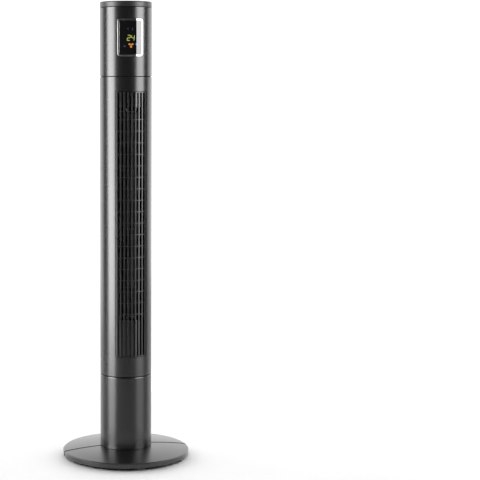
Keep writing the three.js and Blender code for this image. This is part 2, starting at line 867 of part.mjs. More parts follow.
function rearGrille() {
  const half = intakeHalfAngle - gapAngle;
  const outer = bodyRadius - fitGap;
  const [low, high] = [openLow + fitGap, openHigh - fitGap];
  const panel = wallPart(outer - intakeThickness, outer, rear - half, rear + half, low, high, intakeFlats);
  const wedge = [
    new THREE.Vector2(0, 0),
    new THREE.Vector2(...onCircle(2 * bodyRadius, rear - half + intakeBorder)),
    new THREE.Vector2(...onCircle(2 * bodyRadius, rear + half - intakeBorder)),
  ];
  const rows = Math.floor((high - low - intakeSlot) / intakePitch);
  const slots = Array.from({ length: rows }, (_, row) => {
    const middle = (low + high) / 2 + (row - (rows - 1) / 2) * intakePitch;
    return prism(wedge, middle - intakeSlot / 2, middle + intakeSlot / 2);
  });
  return cut(panel, ...slots);
}

// A plate across the tower, notched round the front grille, with a hole on the blower's axis.
function crossPlate(low, hole) {
  const high = low + plateThickness;
  const ends = [low - past, high + past];
  const disc = cylinder(insertRadius, low, high, innerFacets);
  const notch = frontArc(grilleInner - fitGap, bodyRadius + past, outletHalfAngle + plateSideNotch, ...ends);
  const axisHole = cylinder(hole, ...ends, hubFacets).translate(0, blowerOffset, 0);
  const harnessHole = cylinder(harnessRadius + harnessRoom, ...ends, smallFacets);
  return cut(disc, notch, axisHole, harnessHole.translate(...harnessPlace(), 0));
}

// The upper plate, with a post at its front that takes the grille's screw.
function bearingPlate() {
  const plate = crossPlate(bearingPlateBottom, bearingRubberOuter + fitGap);
  const backingFlat = backingInner * Math.cos(radians(slatAngle / (slatCount + 1)));
  const face = backingFlat - fitGap;
  const height = grilleScrewHeight + grillePostWidth / 2 - bearingPlateBottom;
  const post = box(grillePostWidth, grillePostDepth, height);
  post.translate(0, grillePostDepth / 2 - face, bearingPlateBottom + height / 2);
  const hole = crossBar(screwRadius + fitGap, -bodyRadius, grillePostDepth - face + past, smallFacets);
  return cut(join(plate, post), hole.translate(0, 0, grilleScrewHeight));
}

function harnessPlace() {
  return onCircle(insertRadius - harnessWallGap - harnessRadius, tongueShellAngle - harnessAside);
}

function shell() {
  const screws = bossPlaces.map(([x, z], i) => {
    const place = [x, shellBossSeat + fitGap, z];
    const mesh = piece(`shell_screw_${i + 1}`, screw(shellScrewLength), steel, place);
    mesh.rotation.x = Math.PI / 2;
    return mesh;
  });
  const grilleSeat = [0, -backingOuter - 2 * fitGap, grilleScrewHeight];
  const grilleScrew = piece("grille_screw", screw(grilleScrewLength), blackSteel, grilleSeat);
  grilleScrew.rotation.x = -Math.PI / 2;
  return group(
    piece("front_shell", frontShell(), housing),
    piece("rear_shell", rearShell(), housing),
    piece("front_grille", frontGrille(), grillePlastic),
    piece("finger_guard", fingerGuard(), grillePlastic),
    piece("rear_grille", rearGrille(), grillePlastic),
    grilleScrew,
    ...screws,
  );
}

// --------------------------------------------------------------------------------------------------------
// Blower, motor and ducts

function blowerWheel() {
  const inner = blowerRadius - bladeDepth;
  const parts = [];
  for (let i = 0; i <= blowerSegments; i += 1) {
    const low = blowerBottom + i * segmentLength;
    const isEnd = i === 0 || i === blowerSegments;
    parts.push(
      isEnd
        ? cylinder(blowerRadius, low, low + blowerDisc, wheelFacets)
        : ring(inner - discLip, blowerRadius, low, low + blowerDisc, wheelFacets),
    );
  }
  const bladeStep = 360 / bladeCount;
  for (let segment = 0; segment < blowerSegments; segment += 1) {
    const low = blowerBottom + segment * segmentLength + blowerDisc / 2;
    for (let blade = 0; blade < bladeCount; blade += 1) {
      const angle = bladeStep * (blade + segment / blowerSegments);
      const line = [
        new THREE.Vector2(...onCircle(inner, angle)),
        new THREE.Vector2(...onCircle(blowerRadius - bladeInset, angle + bladeSweep)),
      ];
      parts.push(ribbon(line, bladeThickness, low, low + segmentLength));
    }
  }
  const hubs = [
    cylinder(blowerHubRadius, blowerBottom, blowerBottom + blowerHubLength, shaftFacets),
    cylinder(blowerHubRadius, blowerTop - blowerHubLength, blowerTop, shaftFacets),
  ];
  const bore = cylinder(shaftRadius + fitGap, blowerBottom - past, blowerTop + past, shaftFacets);
  return cut(join(...parts, ...hubs), bore);
}

function motorHousing() {
  const can = revolve([
    [0, motorBottom - motorBossHeight],
    [motorBossRadius, motorBottom - motorBossHeight],
    [motorBossRadius, motorBottom],
    [motorRadius - motorBevel, motorBottom],
    [motorRadius, motorBottom + motorBevel],
    [motorRadius, motorTop - motorBevel],
    [motorRadius - motorBevel / 2, motorTop],
    [motorBossRadius, motorTop],
    [motorBossRadius, motorTop + motorBossHeight],
    [0, motorTop + motorBossHeight],
  ], hubFacets);
  const ends = [motorBottom - motorBossHeight - past, motorTop + motorBossHeight + past];
  return cut(can, cylinder(shaftRadius + slipGap, ...ends, shaftFacets));
}

function damper() {
  return revolve([
    [0, 0],
    [damperRadius, 0],
    [damperWaist, damperHeight / 2],
    [damperRadius, damperHeight],
    [0, damperHeight],
  ], smallFacets);
}

function blower() {
  const shaftLow = motorBottom - motorBossHeight - motorShaftTail;
  const shaft = cylinder(shaftRadius, shaftLow, blowerBottom + blowerHubLength, shaftFacets);
  const axle = cylinder(shaftRadius, blowerTop - blowerHubLength, bearingTop + axleTail, shaftFacets);
  const turning = group(
    piece("blower_wheel", blowerWheel(), innerPlastic),
    piece("motor_shaft", shaft, steel),
    piece("blower_axle", axle, steel),
  );
  turning.position.y = blowerOffset;
  return turning;
}

const bearingMiddle = (bearingPlateBottom + bearingPlateTop) / 2;
const bearingTop = bearingMiddle + bushHeight / 2;
const bushOuter = shaftRadius + slipGap + bushWall;
const bearingRubberOuter = bushOuter + fitGap + bearingRubberWall;

function upperBearing() {
  const inner = bushOuter + fitGap;
  const low = bearingMiddle - bushHeight / 2;
  const flangeLow = bearingPlateTop + fitGap;
  const seat = revolve([
    [inner, low],
    [bearingRubberOuter, low],
    [bearingRubberOuter, flangeLow],
    [bearingRubberOuter + bearingRubberFlange, flangeLow],
    [bearingRubberOuter + bearingRubberFlange, bearingTop],
    [inner, bearingTop],
  ], hubFacets);
  const bearing = group(
    piece("bearing_rubber", seat, rubber),
    piece("bearing_bush", ring(shaftRadius + slipGap, bushOuter, low, bearingTop, hubFacets), bronze),
  );
  bearing.position.y = blowerOffset;
  return bearing;
}

function ductPoint(radius, angle) {
  const [x, y] = onCircle(radius, angle);
  return new THREE.Vector2(x, y + blowerOffset);
}

const ductLow = motorPlateTop + fitGap;
const ductHigh = bearingPlateBottom - fitGap;
const outletEdge = grilleInner - ductClearance - ductWall / 2;
const shellEdge = insertRadius - ductWall / 2;

function ductTongue() {
  const line = [
    new THREE.Vector2(...onCircle(outletEdge, front - outletHalfAngle)),
    ...tongueAngles.map((angle) => ductPoint(blowerRadius + tongueGap + ductWall, angle)),
    new THREE.Vector2(...onCircle(shellEdge, tongueShellAngle)),
  ];
  return ribbon(line, ductWall, ductLow, ductHigh);
}

function ductScroll() {
  const spiral = Array.from({ length: scrollSteps + 1 }, (_, i) => {
    const share = i / scrollSteps;
    const clear = scrollStartGap + (scrollEndGap - scrollStartGap) * share;
    const angle = scrollStartAngle + (scrollEndAngle - scrollStartAngle) * share;
    return ductPoint(blowerRadius + clear, angle);
  });
  const line = [
    new THREE.Vector2(...onCircle(shellEdge, scrollShellAngle)),
    ...spiral,
    new THREE.Vector2(...onCircle(outletEdge, front + outletHalfAngle)),
  ];
  return ribbon(line, ductWall, ductLow, ductHigh);
}

// The lead that runs up the side of the tower, from beside the motor to the control board.
function wiringHarness() {
  const [x, y] = harnessPlace();
  const path = new THREE.CatmullRomCurve3([
    new THREE.Vector3(x, y, motorPlateBottom - harnessTail),
    new THREE.Vector3(x, y, (openLow + openHigh) / 2),
    new THREE.Vector3(x, y, bearingPlateTop + harnessBend),
    new THREE.Vector3(x / 2, y / 2, bearingPlateTop + 2 * harnessBend),
    new THREE.Vector3(x / 10, y / 10, bearingPlateTop + 3 * harnessBend),
    new THREE.Vector3(0, 0, headBottom + headPlateDepth),
    new THREE.Vector3(0, 0, controlBoardTop - boardThickness - fitGap),
  ], false, "catmullrom", harnessTension);
  const lastCorner = 360 - 360 / harnessSides;
  const section = new THREE.Shape(arc(harnessRadius, 0, lastCorner, harnessSides - 1));
  return new THREE.ExtrudeGeometry(section, { extrudePath: path, steps: harnessSteps, bevelEnabled: false });
}

function airEngine() {
  const capacitorPlace = onCircle(insertRadius - capacitorRoom - capacitorRadius, capacitorAngle);
  const dampers = Array.from({ length: damperCount }, (_, i) => {
    const place = onCircle(damperCircle, rear + (360 / damperCount) * i);
    return piece(`motor_damper_${i + 1}`, damper(), rubber, [...place, damperTop - damperHeight]);
  });
  const motor = group(piece("motor_housing", motorHousing(), paintedSteel), ...dampers);
  motor.position.y = blowerOffset;
  const capacitor = cylinder(capacitorRadius, damperTop - capacitorHeight, damperTop, hubFacets);
  return group(
    motor,
    blower(),
    upperBearing(),
    piece("motor_plate", crossPlate(motorPlateBottom, motorBossRadius + slipGap), innerPlastic),
    piece("bearing_plate", bearingPlate(), innerPlastic),
    piece("duct_tongue", ductTongue(), innerPlastic),
    piece("duct_scroll", ductScroll(), innerPlastic),
    piece("run_capacitor", capacitor, whitePlastic, [...capacitorPlace, 0]),
    piece("wiring_harness", wiringHarness(), cableGrey),
  );
}

// --------------------------------------------------------------------------------------------------------
// Head

const displayWidth = 2 * bodyRadius * Math.sin(radians(displayHalfAngle));
const windowWidth = displayWidth - 2 * bezelBorder;
const windowHeight = displayHeight - 2 * bezelBorder;
const windowCorner = displayCorner - bezelBorder;

// Part of the body's wall inside an upright rectangle with round corners, seen from the front.
function curvedPanel(inner, outer, width, height, corner) {
  const wall = frontArc(inner, outer, displayHalfAngle + past, -height, height);
  return overlap(wall, roundedBlock(width, height, corner, -bodyRadius - past, 0));
}

function headShell() {
  const [width, height] = [displayWidth + 2 * fitGap, displayHeight + 2 * fitGap];
  const opening = roundedBlock(width, height, displayCorner + fitGap, -bodyRadius - past, 0);
  const gripOpening = box(gripWidth + 2 * fitGap, bodyRadius + past, gripHeight + 2 * fitGap);
  return cut(
    ring(bodyInner, bodyRadius, headBottom, headTop),
    opening.translate(0, 0, displayMiddle),
    gripOpening.translate(0, (bodyRadius + past) / 2, headTop - gripFromTop),
  );
}

const gripFloor = bodyRadius - gripDepth; // from the body's axis to the hollow's far wall

function carryGrip() {
  const outer = overlap(
    box(gripWidth, bodyRadius, gripHeight).translate(0, bodyRadius / 2 + gripFloor - gripWall, 0),
    cylinder(bodyRadius - fitGap, -gripHeight, gripHeight, bodyFacets),
  );
  const hollow = box(gripWidth - 2 * gripWall, bodyRadius, gripHeight - 2 * gripWall);
  return cut(outer, hollow.translate(0, bodyRadius / 2 + gripFloor, 0));
}

function displayBezel() {
  const outline = curvedPanel(bodyInner, bodyRadius + bezelProud, displayWidth, displayHeight, displayCorner);
  return cut(outline, roundedBlock(windowWidth, windowHeight, windowCorner, -bodyRadius - past, 0));
}

function displayWindow() {
  const [width, height] = [windowWidth - 2 * fitGap, windowHeight - 2 * fitGap];
  return curvedPanel(bodyInner, bodyRadius, width, height, windowCorner - fitGap);
}

// The display's circuit board, with its block of digits standing on the front.
function displayBoard() {
  const [moduleWidth, moduleHeight] = digitModule;
  const boardWidth = 2 * (Math.sqrt(bodyInner ** 2 - displayBoardPlane ** 2) - 2 * fitGap);
  const board = box(boardWidth, boardThickness, displayBoardHeight);
  const reach = Math.sqrt(bodyInner ** 2 - (moduleWidth / 2) ** 2) - 2 * fitGap;
  const depth = reach - displayBoardPlane + boardThickness / 2;
  const digits = box(moduleWidth, depth, moduleHeight);
  return join(
    board.translate(0, boardThickness / 2 - displayBoardPlane, 0),
    digits.translate(0, depth / 2 - reach, 0),
  );
}

function headPlate() {
  const low = towerTop - headPlateDepth - bodyWall;
  const high = headBottom + headPlateDepth;
  return revolve([
    [headPlateHole, low],
    [insertRadius, low],
    [insertRadius, high],
    [insertRadius - bodyWall, high],
    [insertRadius - bodyWall, low + bodyWall],
    [headPlateHole, low + bodyWall],
  ], innerFacets);
}

function topCap() {
  const ledgeTopHeight = panelBottom - fitGap;
  return revolve([
    [panelRadius - panelLedge, ledgeTopHeight - panelLedgeThickness],
    [insertRadius - bodyWall, ledgeTopHeight - panelLedgeThickness],
    [insertRadius - bodyWall, capBottom - capSpigot],
    [insertRadius, capBottom - capSpigot],
    [insertRadius, capBottom],
    [capRadius, capBottom],
    [capRadius, capTop - capChamfer],
    [capRadius - capChamfer, capTop],
    [panelRadius + fitGap, capTop],
    [panelRadius + fitGap, ledgeTopHeight],
    [panelRadius - panelLedge, ledgeTopHeight],
  ]);
}

const keyReach = keyRadius + keyFlange + keyGap / 2;
const keySpacing = 2 * THREE.MathUtils.radToDeg(Math.asin(keyReach / keyCircle));
const keyPlaces = keyNames.map((_, i) => {
  const middle = (keyNames.length - 1) / 2;
  return onCircle(keyCircle, front + (i - middle) * keySpacing);
});

function controlPanel() {
  const holes = keyPlaces.map(([x, y]) =>
    cylinder(keyRadius + slipGap, panelBottom - past, panelTop + past, keyFacets).translate(x, y, 0),
  );
  return cut(cylinder(panelRadius, panelBottom, panelTop, bodyFacets), ...holes);
}

function controlBoard() {
  const low = controlBoardTop - boardThickness;
  const switches = keyPlaces.map(([x, y]) =>
    cylinder(switchRadius, low, controlBoardTop + switchHeight, smallFacets).translate(x, y, 0),
  );
  return join(cylinder(controlBoardRadius, low, controlBoardTop, hubFacets), ...switches);
}

function key() {
  const flangeTop = panelBottom - fitGap;
  const flangeLow = flangeTop - keyFlangeThickness;
  return revolve([
    [0, keyBottom],
    [keyStemRadius, keyBottom],
    [keyStemRadius, flangeLow],
    [keyRadius + keyFlange, flangeLow],
    [keyRadius + keyFlange, flangeTop],
    [keyRadius, flangeTop],
    [keyRadius, panelTop + keyProud],
    [0, panelTop + keyProud],
  ], keyFacets);
}

function head() {
  const keys = keyNames.map((name, i) => piece(`key_${name}`, key(), glassBlack, [...keyPlaces[i], 0]));
  return group(
    piece("head_plate", headPlate(), innerPlastic),
    piece("head_shell", headShell(), housing),
    piece("display_bezel", displayBezel(), chrome, [0, 0, displayMiddle]),
    piece("display_window", displayWindow(), glassBlack, [0, 0, displayMiddle]),
    piece("display_board", displayBoard(), boardGreen, [0, 0, displayMiddle]),
    piece("carry_grip", carryGrip(), innerPlastic, [0, 0, headTop - gripFromTop]),
    piece("top_cap", topCap(), housing),
    piece("control_panel", controlPanel(), glassBlack),
    piece("control_board", controlBoard(), boardGreen),
    ...keys,
  );
}

// --------------------------------------------------------------------------------------------------------
// The whole fan

const stand = group(base(), column(), swivelFixed());
const tower = group(swivelTurning(), shell(), airEngine(), head());
const towerFan = group(stand, tower);

export default towerFan;
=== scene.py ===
import math

import bmesh
import bpy
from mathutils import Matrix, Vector
from mathutils.geometry import tessellate_polygon

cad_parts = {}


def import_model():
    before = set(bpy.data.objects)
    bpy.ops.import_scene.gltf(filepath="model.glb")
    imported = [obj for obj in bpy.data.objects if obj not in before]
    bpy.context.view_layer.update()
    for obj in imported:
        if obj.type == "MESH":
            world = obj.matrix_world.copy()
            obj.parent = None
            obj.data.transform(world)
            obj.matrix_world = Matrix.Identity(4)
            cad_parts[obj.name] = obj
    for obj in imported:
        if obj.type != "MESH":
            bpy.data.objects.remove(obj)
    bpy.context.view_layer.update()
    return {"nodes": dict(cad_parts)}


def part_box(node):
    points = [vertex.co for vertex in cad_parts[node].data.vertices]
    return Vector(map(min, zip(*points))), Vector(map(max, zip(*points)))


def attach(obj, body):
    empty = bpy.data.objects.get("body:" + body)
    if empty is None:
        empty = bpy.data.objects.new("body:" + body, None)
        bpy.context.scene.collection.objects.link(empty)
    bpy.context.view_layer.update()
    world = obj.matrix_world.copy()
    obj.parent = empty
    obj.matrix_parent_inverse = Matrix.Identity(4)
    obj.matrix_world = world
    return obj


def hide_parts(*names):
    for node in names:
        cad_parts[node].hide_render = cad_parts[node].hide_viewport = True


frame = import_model()


# --- Sizes, in metres and degrees. Angles round the body start at the front (-Y) and grow towards +X.

mm = 0.001
step = 2.5  # degrees between the facets of a round wall


def span(node, axis):
    """The lowest and highest coordinate of a CAD node along one axis."""
    low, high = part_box(node)
    return low[axis], high[axis]


def middle_of(node):
    """The x and y of a CAD node's middle."""
    low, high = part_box(node)
    return (low.x + high.x) / 2, (low.y + high.y) / 2


body_radius = span("column_tube", 0)[1]
body_wall = 3 * mm
column_low, column_high = span("column_tube", 2)
inner_radius = body_radius - body_wall
painted_shade_radius = body_radius - 2 * mm  # faces inside it get painted shade, a near-black matt that stands in for the shadow inside the casing
fit = 0.3 * mm  # the clearance round a piece in its opening
seam = 0.25 * mm  # how far each edge of the head's seam stays back
tower_low, tower_high = span("front_shell", 2)
head_low, head_high = span("head_shell", 2)
head_top = head_high - 0.5 * mm
cap_low = head_high + 1.3 * mm
cap_high = span("top_cap", 2)[1]
cap_radius = span("top_cap", 0)[1]
grille_low, grille_high = span("front_grille", 2)
shell_lap = 1.1  # the degrees of the grille's edge that the shell laps over
grille_half = math.degrees(math.asin(span("front_grille", 0)[1] / (body_radius - 0.8 * mm))) - shell_lap
guard_low, guard_high = span("finger_guard", 2)
intake_low, intake_high = span("rear_grille", 2)
intake_half = math.degrees(math.asin(span("rear_grille", 0)[1] / (body_radius - 0.3 * mm)))
blower_low, blower_high = span("blower_wheel", 2)
blower_axis = 4 * mm


# --- Materials


def fill(node, **values):
    """Sets a shader node's inputs by their names."""
    for key, value in values.items():
        node.inputs[key.replace("_", " ")].default_value = value


class Nodes:
    """A material's node tree, with short ways to add and link nodes."""

    def __init__(self, name):
        self.material = bpy.data.materials.new(name)
        self.material.use_nodes = True
        self.tree = self.material.node_tree
        self.shader = self.tree.nodes["Principled BSDF"]
        self.place = self.add("TexCoord").outputs["Object"]

    def add(self, kind, **values):
        node = self.tree.nodes.new(f"ShaderNode{kind}")
        for key, value in values.items():
            setattr(node, key, value)
        return node

    def link(self, source, target):
        self.tree.links.new(source, target)

    def noise(self, scale, detail=2.0, roughness=0.5, stretch=(1, 1, 1)):
        """Noise of some scale, in waves to the metre, from 0 to 1."""
        mapping = self.add("Mapping")
        fill(mapping, Scale=stretch)
        self.link(self.place, mapping.inputs["Vector"])
        node = self.add("TexNoise")
        fill(node, Scale=scale, Detail=detail, Roughness=roughness)
        self.link(mapping.outputs["Vector"], node.inputs["Vector"])
        return node.outputs["Fac"]

    def between(self, value, low, high):
        """A value from 0 to 1 spread from low to high."""
        node = self.add("MapRange")
        fill(node, From_Min=0.25, From_Max=0.75, To_Min=low, To_Max=high)
        self.link(value, node.inputs["Value"])
        return node.outputs["Result"]

    def blend(self, value, first, second):
        """A colour that goes from the first to the second."""
        node = self.add("Mix", data_type="RGBA")
        fill(node, A=(*first, 1), B=(*second, 1))
        self.link(value, node.inputs["Factor"])
        return node.outputs["Result"]

    def bump(self, *layers):
        """Bumps the surface with (height value, depth in metres) layers, one on the other."""
        normal = None
        for value, depth in layers:
            node = self.add("Bump")
            fill(node, Strength=1, Distance=depth)
            self.link(value, node.inputs["Height"])
            if normal is not None:
                self.link(normal, node.inputs["Normal"])
            normal = node.outputs["Normal"]
        self.link(normal, self.shader.inputs["Normal"])


def plastic(name, dark, light, rough, grain=2200, grain_depth=0.0006 * mm, wave_depth=0.003 * mm, shine=0.5):
    """Moulded plastic: fine spark-eroded grain over faint, slow waves, with a slightly uneven gloss."""
    nodes = Nodes(name)
    cloud = nodes.noise(9, 3)
    fine = nodes.noise(grain, 2, 0.6)
    nodes.link(nodes.blend(cloud, dark, light), nodes.shader.inputs["Base Color"])
    roughness = nodes.between(nodes.noise(8, 1), rough - 0.008, rough + 0.008)
    nodes.link(roughness, nodes.shader.inputs["Roughness"])
    nodes.bump((nodes.noise(28, 2), wave_depth), (fine, grain_depth))
    fill(nodes.shader, Specular_IOR_Level=shine)
    return nodes.material


def metal(name, colour, rough, stretch=(1, 1, 1), scale=300, depth=0.004 * mm):
    """Metal with fine marks along one direction."""
    nodes = Nodes(name)
    marks = nodes.noise(scale, 4, 0.6, stretch)
    darker = tuple(0.82 * part for part in colour)
    nodes.link(nodes.blend(marks, darker, colour), nodes.shader.inputs["Base Color"])
    nodes.link(nodes.between(marks, rough * 0.8, rough * 1.25), nodes.shader.inputs["Roughness"])
    fill(nodes.shader, Metallic=1.0)
    nodes.bump((marks, depth))
    return nodes.material


def glow(name, colour, strength):
    """A glowing segment with a fine grain in its colour."""
    nodes = Nodes(name)
    dimmer = tuple(0.8 * part for part in colour)
    tint = nodes.blend(nodes.noise(1500, 2), dimmer, colour)
    nodes.link(tint, nodes.shader.inputs["Emission Color"])
    fill(nodes.shader, Base_Color=(0.01, 0.01, 0.01, 1), Roughness=0.08, Emission_Strength=strength)
    return nodes.material


housing = plastic("anthracite_plastic", (0.0036, 0.0036, 0.0038), (0.0042, 0.0042, 0.0044), 0.27)
cap_plastic = plastic("cap_plastic", (0.0036, 0.0036, 0.0038), (0.0042, 0.0042, 0.0044), 0.43)
base_plastic = plastic("base_plastic", (0.0036, 0.0036, 0.0038), (0.0044, 0.0044, 0.0046), 0.29)
grille_plastic = plastic("grille_plastic", (0.0045, 0.0045, 0.0047), (0.0055, 0.0055, 0.0058), 0.27)
inner_plastic = plastic("inner_plastic", (0.006, 0.006, 0.0065), (0.008, 0.008, 0.0085), 0.5, 500)
rubber = plastic("rubber", (0.006, 0.006, 0.006), (0.01, 0.01, 0.01), 0.75, 600, 0.03 * mm)
# painted shade: a near-black matt that stands in for the shadow in seams, gaps and the casing's inside
matt_black = plastic("matt_black", (0.0015, 0.0015, 0.0015), (0.002, 0.002, 0.002), 0.9, 900, shine=0.15)
glossy_plastic = plastic(
    "glossy_plastic", (0.006, 0.006, 0.0065), (0.008, 0.008, 0.0085), 0.2, 500, 0.004 * mm
)
black_steel = metal("black_steel", (0.03, 0.03, 0.032), 0.5)
white_plastic = plastic("white_plastic", (0.68, 0.67, 0.63), (0.75, 0.74, 0.7), 0.45, 500)
board = plastic("circuit_board", (0.01, 0.07, 0.03), (0.015, 0.1, 0.045), 0.4, 300, 0.03 * mm)
sheath = plastic("cable_sheath", (0.018, 0.018, 0.02), (0.025, 0.025, 0.028), 0.55, 500)
black_glass = plastic(
    "black_glass", (0.002, 0.002, 0.0022), (0.003, 0.003, 0.0032), 0.045, 300, 0, 0.002 * mm, 0.63
)
chrome = metal("chrome", (0.56, 0.56, 0.57), 0.09, scale=120, depth=0.0006 * mm)
steel = metal("zinc_steel", (0.55, 0.56, 0.57), 0.3)
motor_steel = metal("motor_steel", (0.25, 0.26, 0.27), 0.45, (1, 1, 0.1))
bronze = metal("bearing_bronze", (0.5, 0.3, 0.12), 0.35)
digit_glow = glow("digit_glow", (0.62, 0.75, 0.14), 1.1)
orange_glow = glow("orange_glow", (1.0, 0.33, 0.04), 0.8)
blue_glow = glow("blue_glow", (0.12, 0.28, 1.0), 1.3)
faint_glow = glow("faint_glow", (0.12, 0.16, 0.35), 0.25)
icon_print = plastic("icon_print", (0.4, 0.4, 0.41), (0.46, 0.46, 0.47), 0.4, 300)


# --- Mesh helpers


def polar(radius, angle, height=0.0, axis=0.0):
    """A point round a vertical axis that lies some way behind the body's axis."""
    turn = math.radians(angle)
    return Vector((radius * math.sin(turn), axis - radius * math.cos(turn), height))


def place_object(name, data):
    """A new object in the scene."""
    thing = bpy.data.objects.new(name, data)
    bpy.context.scene.collection.objects.link(thing)
    return thing


def add_object(name, mesh, material):
    """An object from a bmesh, which is used up."""
    data = bpy.data.meshes.new(name)
    mesh.to_mesh(data)
    mesh.free()
    data.materials.append(material)
    return place_object(name, data)


def make(name, mesh, material, body, node, slot, sharp=35):
    """A piece with smooth faces and crisp edges on a body. node is the CAD node it replaces, or None."""
    bmesh.ops.recalc_face_normals(mesh, faces=mesh.faces)
    thing = add_object(name, mesh, material)
    thing.data.shade_smooth()
    thing.data.set_sharp_from_angle(angle=math.radians(sharp))
    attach(thing, body)
    if node:
        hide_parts(node)
    return thing


def paint_shade_inside(thing, radius, top=math.inf):
    """Gives the faces inside a radius, up to a height, painted shade: a near-black matt that stands in for
    the shadow inside the casing.
    """
    thing.data.materials.append(matt_black)
    for face in thing.data.polygons:
        if math.hypot(face.center.x, face.center.y) < radius and face.center.z < top:
            face.material_index = 1


def keep_flat(thing):
    """Lets the large faces rule the shading next to their rounded edges."""
    weighted = thing.modifiers.new("weighted", "WEIGHTED_NORMAL")
    weighted.mode = "FACE_AREA"
    weighted.keep_sharp = True


def round_edges(mesh, edges, size, segments=3):
    how = {"offset_type": "OFFSET", "profile": 0.5, "affect": "EDGES", "clamp_overlap": True}
    bmesh.ops.bevel(mesh, geom=edges, offset=size, segments=segments, **how)


def corner_turns(count):
    """A rectangle's four round corners, point by point: which corner, and the direction from its centre."""
    for side_x, side_z, start in ((1, 1, 0), (-1, 1, 90), (-1, -1, 180), (1, -1, 270)):
        for i in range(count + 1):
            turn = math.radians(start + 90 * i / count)
            yield side_x, side_z, math.cos(turn), math.sin(turn)


def round_box(half_x, half_z, corner_x, corner_z, count):
    """A rectangle about the origin with round corners, as (x, z) points."""
    return [
        (side_x * (half_x - corner_x) + corner_x * x, side_z * (half_z - corner_z) + corner_z * z)
        for side_x, side_z, x, z in corner_turns(count)
    ]


def box_loop(middle, half, low, high, corner=0.0, radius=None, count=6):
    """An upright rectangle on a round wall, half its width to each side of an angle, as (angle, height)
    points."""
    if not corner:
        return [(middle - half, low), (middle + half, low), (middle + half, high), (middle - half, high)]
    wide, centre = math.degrees(corner / radius), (low + high) / 2
    return [(middle + x, centre + z) for x, z in round_box(half, (high - low) / 2, wide, corner, count)]


def flat_loop(width, height, middle, corner, count=6, turn=0.0):
    """A rectangle with round corners seen straight from the front, as points on the body's round wall."""
    return [
        (turn + math.degrees(math.asin(x / body_radius)), middle + z)
        for x, z in round_box(width / 2, height / 2, corner, corner, count)
    ]


def on_circle(radius, angle, x=0.0, z=0.0):
    turn = math.radians(angle)
    return x + radius * math.cos(turn), z + radius * math.sin(turn)


def circle(radius, x=0.0, z=0.0, count=20, first=0.0, last=360.0):
    """Points round a circle, or along part of one with both of its ends."""
    points = count + (last - first < 360)
    return [on_circle(radius, first + (last - first) * i / count, x, z) for i in range(points)]


def round_hole(x, z, radius, middle):
    """A round hole seen straight from the front or the rear, as a loop on the body's round wall."""
    return [(middle + math.degrees(math.asin(a / body_radius)), b) for a, b in circle(radius, x, z)]


def cut_sheet(loops):
    """A flat sheet of (degrees, millimetres): an outline and its openings, cut into upright strips."""
    flat = [[Vector((a, z / mm, 0)) for a, z in loop] for loop in loops]
    mesh = bmesh.new()
    points = [mesh.verts.new(p) for loop in flat for p in loop]
    for triangle in tessellate_polygon(flat):
        mesh.faces.new([points[i] for i in triangle])
    marks = sorted({round(a, 4) for loop in loops for a, _ in loop})
    first, last = marks[0], marks[-1]
    parts = max(1, round((last - first) / step))
    regular = [first + (last - first) * i / parts for i in range(1, parts)]
    marks += [a for a in regular if min(abs(a - m) for m in marks) > step / 4]
    for a in sorted(marks):
        if first < a < last:
            every = mesh.verts[:] + mesh.edges[:] + mesh.faces[:]
            bmesh.ops.bisect_plane(mesh, geom=every, dist=1e-5, plane_co=(a, 0, 0), plane_no=(1, 0, 0))
    bmesh.ops.remove_doubles(mesh, verts=mesh.verts, dist=1e-4)
    inside = [e for e in mesh.edges if len(e.link_faces) == 2]
    slanted = [e for e in inside if abs(e.verts[0].co.x - e.verts[1].co.x) > 1e-4]
    bmesh.ops.dissolve_edges(mesh, edges=slanted, use_verts=False)
    mesh.normal_update()
    for face in mesh.faces:
        if face.normal.z < 0:
            face.normal_flip()
    return mesh


def wall(loops, outer, inner, whole=False):
    """A round wall between two radii: an unrolled outline and its openings. whole closes the full turn."""
    mesh = cut_sheet(loops)
    for vertex in mesh.verts:
        vertex.co = polar(outer, vertex.co.x, vertex.co.y * mm)
    if whole:
        bmesh.ops.remove_doubles(mesh, verts=mesh.verts, dist=1e-7)
    front = list(mesh.faces)
    rims = [(e, e.link_faces[0]) for e in mesh.edges if len(e.link_faces) == 1]
    share = inner / outer
    twins = {}
    for vertex in list(mesh.verts):
        x, y, z = vertex.co
        twins[vertex] = mesh.verts.new((x * share, y * share, z))
    for face in front:
        mesh.faces.new([twins[v] for v in reversed(face.verts)])
    for edge, face in rims:
        loop = next(l for l in face.loops if l.edge == edge)
        a, b = loop.vert, loop.link_loop_next.vert
        mesh.faces.new([b, a, twins[a], twins[b]])
    return mesh


def rim(mesh, radius):
    """The edges where a wall's outer face ends."""
    mesh.normal_update()
    inside = [e for e in mesh.edges if len(e.link_faces) == 2]
    outer = [e for e in inside if all(abs(math.hypot(v.co.x, v.co.y) - radius) < 1e-6 for v in e.verts)]
    return [e for e in outer if e.calc_face_angle(0) > math.radians(50)]


def edged_wall(loops, outer, inner, size, segments=3, whole=False):
    """A round wall with the edges of its outer face rounded off."""
    mesh = wall(loops, outer, inner, whole)
    round_edges(mesh, rim(mesh, outer), size, segments)
    return mesh


def skin(mesh, rows, closed=True, around=True):
    """Faces between rows of points. closed joins each row's ends, and around the last row to the first."""
    for row, following in zip(rows, rows[1:] + rows[:1] if around else rows[1:]):
        for j in range(len(row) if closed else len(row) - 1):
            k = (j + 1) % len(row)
            mesh.faces.new([row[j], following[j], following[k], row[k]])


def loft(rows):
    """A solid through closed rows of points."""
    mesh = bmesh.new()
    rows = [[mesh.verts.new(point) for point in row] for row in rows]
    skin(mesh, rows, around=False)
    mesh.faces.new(rows[0])
    mesh.faces.new(rows[-1])
    return mesh


def prism(outline, low, high):
    """A closed outline of (x, y) points standing up from one height to another."""
    return loft([[(x, y, z) for x, y in outline] for z in (low, high)])


